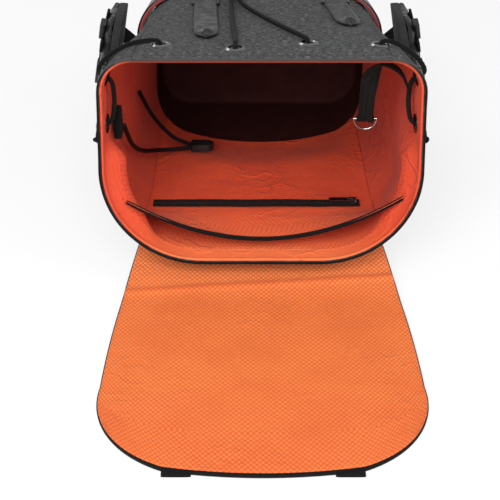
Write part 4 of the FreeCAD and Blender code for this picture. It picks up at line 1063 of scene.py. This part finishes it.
def dark_start(x):
    """Give how deep the cloth painted dark as shade starts at a distance from the middle."""
    return DARK_CENTRE - math.sqrt(max(0, DARK_RADIUS ** 2 - x * x))


@functools.lru_cache(maxsize=None)
def dark_edge(share):
    """Find how deep the orange lining ends at a share of the way round."""
    deep = 330
    for _ in range(12):
        deep = dark_start(section(share, deep)[0])
    return min(deep, TAIL - 4)


def hem_flare(deep, z, lip, left=True):
    """Give how far the hem's facing hangs in from the side wall, low on each side of the mouth."""
    low_band = smooth(34, 74, z) * (1 - smooth(128, 155, z))
    hem = deep - lip
    if left:
        return 19 * low_band * smooth(1, 25, hem) * (1 - smooth(26, 46, hem))
    return 13 * low_band * smooth(1, 27, hem) * (1 - smooth(30, 120, hem))


def lining_rule(seats, rows):
    """Give the rule for the lining, rolled over the rim and down to the cloth painted dark as shade."""
    def where(share, down):
        """Place one point of the lining."""
        share = share % 1
        lip = mouth_deep(share)
        row = round(down * rows)
        if row < len(ROLL):
            ahead, inset = ROLL[row]
            front = smooth(0.30, 0.36, 0.5 - abs(share - 0.5))
            return point(*skin(share, lip + mix(ahead + 1.1, ahead, front), -mix(inset + 0.5, inset, front)))
        left = (row - len(ROLL) + 1) / (rows - len(ROLL) + 1)
        deep = mix(lip + ROLL[-1][0], dark_edge(share), left ** 1.1)
        flat = skin(share, deep, -INNER)
        hem = deep - lip
        inset = INNER + 0.3 + 0.5 * ruffle(flat, 38, 2) + 0.3 * ruffle(flat, 15, 5)
        inset += 0.5 * bell(hem - 26, 1.2) - 0.3 * (1 - smooth(18, 26, hem))
        calm = calm_near(point(*flat), seats)
        place = skin(share, deep, -mix(INNER, inset, calm))
        flare = hem_flare(deep, place[2], lip, place[0] < 0)
        spot = point(place[0] - math.copysign(flare, place[0]), deep, place[2])
        return part_round(spot, seats)

    return where


def lower_rule(share, down):
    """Place one point of the cloth at the bottom of the bag, painted dark as shade."""
    share = share % 1
    turned = 0.62
    if down < turned:
        deep = mix(dark_edge(share) - 1.2, TAIL - 5, down / turned)
        flat = skin(share, deep, -INNER)
        return point(*skin(share, deep, -INNER - 0.5 - 0.5 * ruffle(flat, 30, 7)))
    left = (down - turned) / (1 - turned)
    x, _, z = skin(share, TAIL - 5, -INNER - 0.6)
    x, z = x * (1 - left), mix(z, MIDDLE_Z, left)
    crumple = 1.2 * abs(ruffle((x, 0, z), 34, 5)) * smooth(0, 0.2, left)
    return point(x, TAIL - 5 + 1.6 * smooth(0, 0.1, left) - crumple, z)


class BACKPACK_OT_lining(bpy.types.Operator):
    """Fit the orange lining, its rolled rim and the cloth at the bottom, painted dark as shade"""

    bl_idname = "backpack.lining"
    bl_label = "Lining"

    def execute(self, context):
        """Build both parts of the lining as closed sleeves of cloth."""
        seats = eyelet_seats(INNER)
        rows = 92
        bm = sheet_mesh(240, rows, lining_rule(seats, rows), holes=seats, wrap=True)
        thicken(new_piece("bag_lining", bm, "orange_ripstop", PACK, "lining"), 0.0009)
        lower = sheet_mesh(160, 46, lower_rule, wrap=True)
        thicken(new_piece("bag_bottom_lining", lower, "dark_lining", PACK, "lower_lining"), 0.0009)
        return {"FINISHED"}


# ------------------------------------------------------------------ laptop sleeve
SLEEVE_STATIONS = ((20, 45, 100), (90, 44, 46), (402, 25.5, 26))
SLEEVE_START = 0.034  # how far along the cloth its chart starts, past the bound hem
ZIP_LEFT, ZIP_RIGHT, ZIP_DEEP, TOOTH_PITCH = -115, 106, 95, 1.7


def sleeve_height(x, deep):
    """Give the height of the sagging sleeve's upper face."""
    middle, side = curve_through(SLEEVE_STATIONS, deep)
    return middle + 2 + (side - middle) * (x / 150) ** 2


@functools.lru_cache(maxsize=None)
def sleeve_edge(deep, side):
    """Find where the sleeve meets the lining at one side."""
    x = 140
    for _ in range(14):
        x = (x + inner_half(deep, sleeve_height(x, deep), 5.4, side < 0)) / 2
    return side * x


def sleeve_rule(across, down):
    """Place one point of the sleeve."""
    x = 130 * (2 * across - 1)
    for _ in range(3):
        end = dark_start(x) + 3
        deep = mix(22, end, down ** 1.1)
        x = mix(sleeve_edge(round(deep, 1), -1), sleeve_edge(round(deep, 1), 1), across)
    flat = (x, deep, 0)
    ripple = 0.9 * ruffle(flat, 52, 3) + 0.45 * ruffle((x * 0.6, deep, 0), 17, 8)
    pinned = smooth(0, 0.06, min(across, 1 - across)) * smooth(0, 30, deep - 22) * smooth(0, 20, end - deep)
    z = sleeve_height(x, deep) + ripple * pinned * smooth(9, 22, abs(deep - ZIP_DEEP)) * 0.999
    sewn = min(z, inner_back(x, deep, INNER) + 2.6)
    return point(x, deep, mix(z, sewn, smooth(end - 100, end - 2, deep)))


class BACKPACK_OT_sleeve(bpy.types.Operator):
    """Hang the laptop sleeve in front of the back panel, with its bound edge and its zip"""

    bl_idname = "backpack.sleeve"
    bl_label = "Laptop sleeve"

    def execute(self, context):
        """Build the sleeve, its binding and the zip."""
        bm = sheet_mesh(110, 120, sleeve_rule, start=SLEEVE_START)
        sleeve = thicken(new_piece("sleeve_cloth", bm, "orange_ripstop", PACK, "laptop_sleeve"), 0.0012)
        self.bind_edge()
        self.set_zip()
        return {"FINISHED"}

    def bind_edge(self):
        """Fold black tape over the sleeve's free edge."""
        deep, half_wide, half_thick = 23.5, 3.0, 1.5
        places = np.linspace(sleeve_edge(deep, -1), sleeve_edge(deep, 1), 121).tolist()
        line = [point(x, deep, sleeve_height(x, deep) - 1) for x in places]

        def where(turn, share):
            """Place one point of the folded tape."""
            angle = TURN * turn
            return line[round(share * 120)] + Vector((0, squarish(angle + TURN / 4, 0.55) * half_wide,
                                                      squarish(angle, 0.55) * half_thick)) * 0.001

        bm = closed_tube(sheet_mesh(16, 120, where, wrap=True))
        new_piece("sleeve_edge_tape", bm, "black_webbing", PACK, "sleeve_binding")

    def set_zip(self):
        """Lay the zip's two tapes and its coil of teeth."""
        for name, near, far, nodes in (("near", -7, -1.2, ("zip_tapes",)), ("far", 1.2, 7, ())):
            def where(across, down):
                """Place one point of a tape."""
                x = mix(ZIP_LEFT, ZIP_RIGHT, down)
                return point(x, ZIP_DEEP + mix(near, far, across), 48.9 + 0.5 * ruffle((x, near, 0), 40))

            bm = flip(sheet_mesh(6, 100, where))
            thicken(new_piece(f"zip_tape_{name}", bm, "zip_fabric", PACK, *nodes), 0.0008)
        teeth = bmesh.new()
        for count in range(int((ZIP_RIGHT - ZIP_LEFT) / TOOTH_PITCH)):
            side = 1 if count % 2 else -1
            place = point(ZIP_LEFT + 1 + count * TOOTH_PITCH, ZIP_DEEP + side * 0.5, 48.95)
            turn = Matrix.Rotation(side * 0.35, 4, "Z") @ Matrix.Diagonal((0.00062, 0.0017, 0.0006, 1))
            bmesh.ops.create_icosphere(teeth, subdivisions=1, radius=1, matrix=Matrix.Translation(place) @ turn)
        new_piece("zip_teeth", teeth, "black_plastic", PACK, "zip_coil", slot="zip_fabric")


# ------------------------------------------------------------------ lid
LID_SIDE = ((127, 75), (144, -60), (150.5, -178))
LID_CORNER = ((150.5, -178), (137, -249), (88, -294))
LID_FRONT = ((88, -294), (0, -303), (-88, -294))
LID_HEIGHTS = ((-400, 6.4), (-60, 6.4), (-30, 6.7), (-5, 9.6), (30, 14.6), (60, 19.4), (98, 24))
LID_WIDE, LID_LONG = 290, 380
SPLIT = 0.85  # share of the lid's length where its front edge turns down


def arc_through(three, share):
    """Give a place on the arc through three places."""
    (ax, ay), (bx, by), (cx, cy) = three
    scale = 2 * (ax * (by - cy) + bx * (cy - ay) + cx * (ay - by))
    a2, b2, c2 = ax * ax + ay * ay, bx * bx + by * by, cx * cx + cy * cy
    ox = (a2 * (by - cy) + b2 * (cy - ay) + c2 * (ay - by)) / scale
    oy = (a2 * (cx - bx) + b2 * (ax - cx) + c2 * (bx - ax)) / scale
    start = math.atan2(ay - oy, ax - ox)
    turn = (math.atan2(cy - oy, cx - ox) - start + math.pi) % TURN - math.pi
    radius = math.hypot(ax - ox, ay - oy)
    return ox + radius * math.cos(start + turn * share), oy + radius * math.sin(start + turn * share)


def lid_outline():
    """Walk the lid's outline from its root on the right round to its root on the left."""
    right = [arc_through(LID_SIDE, step / 60) for step in range(60)]
    corner = [arc_through(LID_CORNER, step / 40) for step in range(40)]
    front = [arc_through(LID_FRONT, step / 40) for step in range(21)]
    half = right + corner + front
    return half + [(-x, deep) for x, deep in half[-2::-1]]


OUTLINE = np.array(lid_outline())
OUTLINE_WALKED = walked_along(OUTLINE)
CORNER_AT, OUTLINE_LONG = float(OUTLINE_WALKED[80]), float(OUTLINE_WALKED[-1])


def on_outline(walked, inset=0.0):
    """Give the place on the lid's outline after a walk from the right root, moved inwards."""
    behind, spot, ahead = [Vector([np.interp(stop, OUTLINE_WALKED, OUTLINE[:, axis]) for axis in (0, 1)])
                           for stop in (walked - 2, walked, walked + 2)]
    way = (ahead - behind).normalized()
    return spot + Vector((way.y, -way.x)) * inset


def lid_height(deep):
    """Give the height of the lid's upper face."""
    return curve_through(LID_HEIGHTS, deep)[0]


def lid_spot(across, down, inset):
    """Place one point of the lid between its four edges."""
    def between(walked):
        """Give the place between the outline's two sides."""
        return on_outline(OUTLINE_LONG - walked, inset).lerp(on_outline(walked, inset), across)

    back, front = between(0), on_outline(mix(OUTLINE_LONG - CORNER_AT, CORNER_AT, across), inset)
    return between(CORNER_AT * down) + back.lerp(front, down) - back.lerp(between(CORNER_AT), down)


def lid_rule(start, end, rows, inset, lift, rolled=True):
    """Give the rule for one layer of the lid; its end rows lie close, so that the split doesn't show."""
    tight = {1: 0.03, rows - 1: rows - 1 + 0.97}

    def where(across, down):
        """Place one point of the layer."""
        row = round(down * rows)
        share = mix(start, end, tight.get(row, row) / rows)
        spot = lid_spot(across, share, inset)
        edge = min(min(across, 1 - across) * LID_WIDE, (1 - share) * LID_LONG)
        z = lid_height(spot.y) + lift
        if rolled:
            flat = (spot.x, spot.y, 0)
            z += (0.55 * ruffle(flat, 70, 1) + 0.22 * ruffle(flat, 24, 6)) * smooth(2, 26, edge)
            z += 0.35 * bell(edge - 2.4, 1) - 0.4 * bell(edge - 4.2, 0.9) - 1.5 * (1 - smooth(0, 1.8, edge))
            z += 1.4 * bell(spot.y + 6 - FOLD_LEAN * spot.x, 4.5)
        return point(spot.x, spot.y, z)

    return where


def bend_at_crease(piece):
    """Bake the placement of a piece of the lid, on its length next to the bag, into its mesh."""
    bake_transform(piece)


def bend_at_fold(piece):
    """Bake the placement of a piece of the lid, on its front length, into its mesh."""
    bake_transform(piece)


class BACKPACK_OT_lid(bpy.types.Operator):
    """Lay out the lid: ripstop lining above, heather cloth below, black binding round the edge"""

    bl_idname = "backpack.lid"
    bl_label = "Lid"

    def execute(self, context):
        """Build each layer in two lengths, parted where the front edge turns down."""
        lengths = (("rear", 0.0, SPLIT, 110, bend_at_crease, "lid_lining", ("lid_root", "lid_shell")),
                   ("front", SPLIT, 1.0, 34, bend_at_fold, "lid_front_lining", ("lid_front_shell",)))
        for name, start, end, rows, bend, lining, shell in lengths:
            walked = 0.04 + LID_LONG * 0.001 * start
            bm = flip(sheet_mesh(120, rows, lid_rule(start, end, rows, 0.4, 0), start=walked))
            top = new_piece(f"lid_lining_{name}", bm, "lid_ripstop", None, lining, slot="orange_ripstop")
            bend(thicken(top, 0.0011))
            bm = sheet_mesh(100, rows, lid_rule(start, end, rows, 1.2, -1.2, rolled=False))
            under = new_piece(f"lid_cloth_{name}", flip(bm), "heather_cloth", None, *shell)
            bend(thicken(under, 0.0048))
        self.bind_edge()
        return {"FINISHED"}

    def bind_edge(self):
        """Run black binding round the lid's edge, parted where the lid folds."""
        cut, end_gap = CORNER_AT * SPLIT, 12
        runs = (("right", end_gap, cut, bend_at_crease, ("lid_binding",)),
                ("front", cut, OUTLINE_LONG - cut, bend_at_fold, ("lid_front_binding",)),
                ("left", OUTLINE_LONG - cut, OUTLINE_LONG - end_gap, bend_at_crease, ()))
        for name, start, end, bend, nodes in runs:
            def where(turn, share):
                """Place one point of the rounded binding."""
                angle = TURN * turn
                spot = on_outline(mix(start, end, share), 1.6 - 2.0 * math.cos(angle))
                return point(spot.x, spot.y, lid_height(spot.y) - 3.4 + 2.5 * squarish(angle, 0.6))

            bm = closed_tube(sheet_mesh(14, round((end - start) / 3), where, wrap=True))
            bend(new_piece(f"lid_binding_{name}", bm, "black_webbing", None, *nodes))


# ------------------------------------------------------------------ straps on the front
FRONT_STRAPS = {"left": ((-61, 262), (-55.5, 98)), "right": ((84, 268), (95, 155))}
STRAP_WIDE, STRAP_THICK = 25, 2.6


def strap_height(x, deep):
    """Give the height of the middle of a strap that rides over the front."""
    return max(front_z(x + step, deep) for step in (-10, 0, 10)) + 1.2 + STRAP_THICK / 2


def upward(_spot):
    """Give the direction out of a piece that lies flat."""
    return Vector((0, 0, 1))


class BACKPACK_OT_front_straps(bpy.types.Operator):
    """Lay the two leather straps with their stitching, and the patches that hold them"""

    bl_idname = "backpack.front_straps"
    bl_label = "Front straps"

    def execute(self, context):
        """Build each strap on its own body and each patch on the bag."""
        for side, (root, end) in FRONT_STRAPS.items():
            body = f"strap_{side}"
            route = [Vector(root).lerp(Vector(end), step / 200) for step in range(201)]
            line = [point(x, deep, strap_height(x, deep)) for x, deep in route]
            way = (line[-1] - line[0]).normalized()
            across = way.cross(Vector((0, 0, -1))).normalized() * -1
            bm = strap_mesh(line, across, STRAP_WIDE * 0.001, STRAP_THICK * 0.001, rounded=True,
                            groove=0.3, around=40)
            new_piece(f"front_strap_{side}_hide", bm, "black_leather", body, f"front_strap_{side}")
            self.stitch_edges(side, line, across, body)
            self.patch(side, *root)
        return {"FINISHED"}

    def stitch_edges(self, side, line, across, body):
        """Run a row of stitches down each edge and round the end."""
        lift, edges = Vector((0, 0, STRAP_THICK * 0.0005)), ([], [])
        for spot in line[2:-4]:
            offset = across * (tongue((line[-1] - spot).length, STRAP_WIDE * 0.001) - 0.0024)
            edges[0].append(spot + offset + lift)
            edges[1].append(spot - offset + lift)
        sew(f"front_strap_{side}_stitches", [edges[0] + edges[1][::-1]], "grey_thread", body, upward,
            slot="black_leather")

    def patch(self, side, x, deep):
        """Sew a leather patch over the root of a strap."""
        line = [point(x, deep + 0.6 + step, front_z(x, deep + step) + 1.9) for step in range(23)]
        bm = strap_mesh(line, (-1, 0, 0), 0.032, 0.003, groove=0.25, around=40)
        new_piece(f"strap_patch_{side}_hide", bm, "black_leather", PACK, *first_of(x, "strap_patches"))
        corners = ((-13.4, 3.4), (13.4, 3.4), (13.4, 19.6), (-13.4, 19.6), (-13.4, 3.4))
        loop = [point(x + a, deep + b, front_z(x, deep + b) + 3.5) for a, b in corners]
        sew(f"strap_patch_{side}_stitches", [loop], "grey_thread", PACK, upward, slot="black_leather")


# ------------------------------------------------------------------ side pockets
POCKET_START, POCKET_END, POCKET_LOW, POCKET_FRONT, POCKET_WIDE, POCKET_SEAM = 308, 409, 24, 104, 200, 8
PIPING_RADIUS = 0.0019


def pocket_share(side, across, deep):
    """Find the share of the way round the bag at a share of a pocket's width."""
    return on_side(side, mix(share_at_height(POCKET_LOW, deep), share_at(POCKET_FRONT, deep), across))


def pocket_rule(side):
    """Give the rule that places one pocket."""
    def where(across, down):
        """Place one point of the pocket."""
        deep = round(mix(POCKET_START, POCKET_END, down), 2)
        edge = min(across, 1 - across) * POCKET_WIDE
        full = smooth(0, 34, edge) * smooth(0, 30, POCKET_END - deep)
        flat = side * across * POCKET_WIDE
        out = 4.9 + full * (1.7 + 0.7 * ruffle((flat, deep, 0), 30, 11))
        gathers = smooth(6, 20, edge) * math.exp((POCKET_START - deep) / 18)
        out += 0.5 * gathers * ruffle((flat, deep * 0.3, 0), 9, 12)
        out -= 0.5 * bell(deep - POCKET_START - POCKET_SEAM, 1.2)
        return point(*skin(pocket_share(side, across, deep), deep, out))

    return where


class BACKPACK_OT_pockets(bpy.types.Operator):
    """Sew a leather pocket with a piped mouth on each side"""

    bl_idname = "backpack.pockets"
    bl_label = "Side pockets"

    def execute(self, context):
        """Build both pockets, their piping and their seams."""
        for side, name in SIDES:
            bm, node = sheet_mesh(96, 48, pocket_rule(side)), f"side_pocket_{name}"
            bm = bm if side > 0 else flip(bm)
            thicken(new_piece(f"{node}_hide", bm, "black_leather", PACK, node), 0.002)
            self.pipe(side, name)
        return {"FINISHED"}

    def pipe(self, side, name):
        """Edge the mouth of a pocket with red piping and stitch below it."""
        rows = []
        for deep, out, full in ((POCKET_START - 1.6, 4.4, 0), (POCKET_START + POCKET_SEAM, 5.0, 1.3)):
            shares = [pocket_share(side, step / 90, deep) for step in range(91)]
            rows.append([point(*skin(share, deep, out + full * smooth(0, 34, min(step, 90 - step) * 2.2)))
                         for step, share in enumerate(shares)])
        bm = tube_mesh(rows[0], lambda angle, distance: PIPING_RADIUS, 12)
        new_piece(f"pocket_piping_{name}_cord", bm, "red_piping", PACK, *first_of(side, "pocket_piping"))
        sew(f"side_pocket_{name}_stitches", rows[1:], "black_thread", PACK, skin_outward, slot="black_leather")


# ------------------------------------------------------------------ small straps inside and below
KEY_ROUTE = ((147, 57, 196), (143, 57, 212), (131, 58, 224), (117, 61, 226), (110, 66, 214), (108, 76, 192),
             (108, 88, 168), (108, 95, 147.4))
HAUL_ROUTE = ((-24, 104, 5), (-24, 82, 5), (-24, 64, 5), (-10, 61, 5), (10, 61, 5), (24, 64, 5), (24, 82, 5),
              (24, 104, 5))
TAIL_ROUTE = ((183, 452, 106), (181, 472, 92), (160, 475, 72), (139, 456, 54), (128, 427, 44))


def web(name, line, across, width, thick, *nodes, body=PACK, **shape):
    """Weave one flat strap along a line."""
    bm = strap_mesh(line, across, width, thick, **shape)
    new_piece(f"{name}_web", bm, "black_webbing", body, *nodes)


class BACKPACK_OT_small_straps(bpy.types.Operator):
    """Make the key strap, the leash tab, the haul loop, the tail webbing and the tabs under the lid"""

    bl_idname = "backpack.small_straps"
    bl_label = "Small straps"

    def execute(self, context):
        """Build each strap on the line that it follows."""
        self.key_strap()
        tab = [point(-146.2, 75, z) for z in range(141, 174)]
        web("leash_tab", tab, (0, 1, 0), 0.025, 0.0085, "leash_tab", rounded=True, groove=0.15, around=24)
        web("haul_loop", spline_line("haul", HAUL_ROUTE, 0.001), (1, 0, 0), 0.019, 0.003, "haul_loop")
        for side, name in SIDES:
            line = spline_line("tail", [(side * x, deep, z) for x, deep, z in TAIL_ROUTE], 0.001)
            web(f"tail_webbing_{name}", line, (0, 0.3, 1), 0.022, 0.0018, *first_of(side, "tail_webbing"))
            line = [point(side * 75, -277.5 - step * 0.5, 1.6) for step in range(48)]
            web(f"lid_tab_{name}", line, (side, 0, 0), 0.026, 0.0024, *first_of(side, "lid_tabs"), body=FLAP)
        return {"FINISHED"}

    def key_strap(self):
        """Arch the key strap out of the side and turn its end round the ring's bar."""
        line = spline_line("key", KEY_ROUTE, 0.001)
        web("key_strap", line, (0, 1, 0), 0.018, 0.0024, "key_strap", groove=0.2,
            twist=lambda share: TURN / 4 * smooth(0.25, 0.72, share))
        bar = [point(x, 95, 148.5) for x in range(99, 118)]
        new_piece("key_strap_hem", tube_mesh(bar, lambda angle, distance: 0.0031, 20), "black_webbing", PACK)


# ------------------------------------------------------------------ padding
SHOULDER_OUTLINE = ((254, 80), (252, 160), (330, 172), (432, 152), (430, 84), (330, 92))
CHANNEL_DEEP, CHANNEL_WIDE = 2.4, 2.6
FILLING_FRAMES = 20
# node: finish, voxel, how far drawn in first, how far it may swell, in metres
PADS = {
    "shoulder_strap_left": ("black_leather", 0.004, 0.0022, 0.0034),
    "shoulder_strap_right": ("black_leather", 0.004, 0.0022, 0.0034),
    "strap_wing_left": ("black_leather", 0.0035, 0.001, 0.0018),
    "strap_wing_right": ("black_leather", 0.0035, 0.001, 0.0018),
    "back_pads": ("mesh_pad", 0.004, 0.0022, 0.004),
    "lumbar_pad": ("mesh_pad", 0.0045, 0.0022, 0.005),
    "yoke": ("black_leather", 0.004, 0.001, 0.002),
}


def evenly_remeshed(node, voxel, drawn_in, smoothing=5):
    """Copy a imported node's mesh, give it even faces and draw it in a little."""
    draft = bpy.data.objects.new("draft", frame["nodes"][node].data.copy())
    bpy.context.scene.collection.objects.link(draft)
    even = draft.modifiers.new("Even", "REMESH")
    even.mode = "VOXEL"
    even.voxel_size = voxel
    soft = draft.modifiers.new("Soft", "SMOOTH")
    soft.iterations = smoothing
    shaped = draft.evaluated_get(bpy.context.evaluated_depsgraph_get())
    mesh = bpy.data.meshes.new_from_object(shaped)
    bpy.data.objects.remove(draft)
    places, normals = vertex_arrays(mesh)
    mesh.vertices.foreach_set("co", (places - normals * drawn_in).ravel())
    return mesh


def vertex_arrays(mesh):
    """Read where a mesh's vertices are and which way they face."""
    places, normals = np.empty(len(mesh.vertices) * 3), np.empty(len(mesh.vertices) * 3)
    mesh.vertices.foreach_get("co", places)
    mesh.vertex_normals.foreach_get("vector", normals)
    return places.reshape(-1, 3), normals.reshape(-1, 3)


def swell(pads):
    """Fill every pad with air as a cloth skin, all in one run, and keep the shapes."""
    scene = bpy.context.scene
    scene.frame_start, scene.frame_end = 1, FILLING_FRAMES
    for pad in pads:
        cloth = pad.modifiers.new("Filling", "CLOTH")
        cloth.settings.use_pressure = True
        cloth.settings.uniform_pressure_force = 4
        cloth.settings.effector_weights.gravity = 0
        cloth.collision_settings.use_collision = False
        cloth.point_cache.frame_start, cloth.point_cache.frame_end = 1, FILLING_FRAMES
    for number in range(1, FILLING_FRAMES + 1):
        scene.frame_set(number)
    graph = bpy.context.evaluated_depsgraph_get()
    for pad in pads:
        swollen = bpy.data.meshes.new_from_object(pad.evaluated_get(graph))
        before = vertex_arrays(pad.data)[0]
        moved = vertex_arrays(swollen)[0] - before
        far = np.linalg.norm(moved, axis=1, keepdims=True)
        cap = PADS[pad["node"]][3]
        moved *= np.minimum(1, cap / np.maximum(far, 1e-9))
        pad.modifiers.clear()
        pad.data.vertices.foreach_set("co", (before + moved).ravel())
        bpy.data.meshes.remove(swollen)
    scene.frame_set(1)


def distance_to_outline(deep, z):
    """Measure how far a place in the shoulder strap's plane is from its edge."""
    spot, best = Vector((deep, z)), 1e9
    for start, end in zip(SHOULDER_OUTLINE, SHOULDER_OUTLINE[1:] + SHOULDER_OUTLINE[:1]):
        start, end = Vector(start), Vector(end)
        share = min(1, max(0, (spot - start).dot(end - start) / (end - start).length_squared))
        best = min(best, (spot - start.lerp(end, share)).length)
    return best


def channel_depth(node, place, normal):
    """Give how deep a sewn channel presses a pad in at one point, in millimetres."""
    x, deep, z = place[0] * 1000, place[1] * 1000 + MOUTH_Y, place[2] * 1000
    if node.startswith("shoulder_strap"):
        if abs(normal[0]) < 0.6:
            return 0.0
        return 1.1 * bell(distance_to_outline(deep, z) - 9, 2.2)
    if node in ("back_pads", "lumbar_pad") and normal[2] < -0.4:
        along, pitch = (deep - 157, 29.5) if node == "back_pads" else (abs(x), 44)
        return CHANNEL_DEEP * bell(along % pitch - pitch / 2, CHANNEL_WIDE)
    return 0.0


class BACKPACK_OT_padding(bpy.types.Operator):
    """Fill the shoulder straps, their wings, the back pads and the yoke, and sew their channels"""

    bl_idname = "backpack.padding"
    bl_label = "Padding"

    def execute(self, context):
        """Build every padded piece, swell them together and press the channels in."""
        pads = []
        for node, (finish, voxel, drawn_in, _) in PADS.items():
            pad = new_piece(f"{node}_skin", evenly_remeshed(node, voxel, drawn_in), finish, PACK, node)
            pad["node"] = node
            pads.append(pad)
        swell(pads)
        for pad in pads:
            self.finish_pad(pad)
        for side, name in SIDES:
            self.line_strap(side, name)
        for name, node, voxel, finish in (("webbing_anchor_hide", "webbing_anchors", 0.0012, "black_leather"),
                                          ("sternum_rail_web", "sternum_rails", 0.0008, "black_webbing")):
            new_piece(name, chart_by_place(evenly_remeshed(node, voxel, 0.0, 2)), finish, PACK, node)
        return {"FINISHED"}

    def line_strap(self, side, name):
        """Pad the inner side of a shoulder strap with spacer mesh."""
        mesh = evenly_remeshed(f"shoulder_strap_{name}", 0.004, 0.004)
        places, normals = vertex_arrays(mesh)
        places[:, 0] -= side * np.where(-side * normals[:, 0] > 0.25, 0.0105, 0.0045)
        mesh.vertices.foreach_set("co", places.ravel())
        pad = soften(new_piece(f"shoulder_strap_{name}_mesh", mesh, "mesh_pad", PACK))

    def finish_pad(self, pad):
        """Press in the channels, rest the pad on the ground and round it."""
        node = pad["node"]
        places, normals = vertex_arrays(pad.data)
        depth = np.array([channel_depth(node, place, normal) for place, normal in zip(places, normals)])
        places = places - normals * depth[:, None] * 0.001
        places[:, 2] = np.maximum(places[:, 2], 0.0002)
        pad.data.vertices.foreach_set("co", places.ravel())
        pad.data.update()
        soften(pad)


def chart_by_place(mesh):
    """Chart a remeshed strap that runs front to back by its own places, in metres."""
    layer = mesh.uv_layers.new(name="UVMap")
    for loop in mesh.loops:
        x, y, z = mesh.vertices[loop.vertex_index].co
        layer.data[loop.index].uv = (x + z, y)
    return mesh


# ------------------------------------------------------------------ panel, registration and making
OPERATORS = (BACKPACK_OT_stage, BACKPACK_OT_cords, BACKPACK_OT_outer_cloth, BACKPACK_OT_lining,
             BACKPACK_OT_sleeve, BACKPACK_OT_lid, BACKPACK_OT_front_straps, BACKPACK_OT_pockets,
             BACKPACK_OT_small_straps, BACKPACK_OT_padding)
GROUPS = {"backpack_colours": BackpackColours, "backpack_sizes": BackpackSizes,
          "backpack_studio": BackpackStudio}


class BACKPACK_PT_panel(bpy.types.Panel):
    """List the steps of making the backpack, with its colours and sizes"""

    bl_label = "Backpack"
    bl_idname = "BACKPACK_PT_panel"
    bl_space_type = "VIEW_3D"
    bl_region_type = "UI"
    bl_category = "Backpack"

    def draw(self, context):
        """Draw each property and a button for each step."""
        for group in GROUPS:
            settings = getattr(context.scene, group)
            box = self.layout.box()
            for name in settings.bl_rna.properties.keys():
                if name not in ("name", "rna_type"):
                    box.prop(settings, name)
        for operator in OPERATORS:
            self.layout.operator(operator.bl_idname)


def register():
    """Register the settings, the steps and the panel."""
    for group, kind in GROUPS.items():
        bpy.utils.register_class(kind)
        setattr(bpy.types.Scene, group, bpy.props.PointerProperty(type=kind))
    for kind in (*OPERATORS, BACKPACK_PT_panel):
        bpy.utils.register_class(kind)


def unregister():
    """Take everything out again."""
    for kind in (BACKPACK_PT_panel, *reversed(OPERATORS)):
        bpy.utils.unregister_class(kind)
    for group, kind in GROUPS.items():
        delattr(bpy.types.Scene, group)
        bpy.utils.unregister_class(kind)


def dress_frame():
    """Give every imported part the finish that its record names."""
    for part in frame["record"]["subparts"]:
        mesh = frame["nodes"][part["node"]].data
        mesh.materials.clear()
        mesh.materials.append(FINISHES[part["material_slot"]])


def main():
    """Make the backpack step by step."""
    register()
    make_finishes()
    dress_frame()
    for operator in OPERATORS:
        group, name = operator.bl_idname.split(".")
        getattr(getattr(bpy.ops, group), name)()


if __name__ == "__main__":
    main()
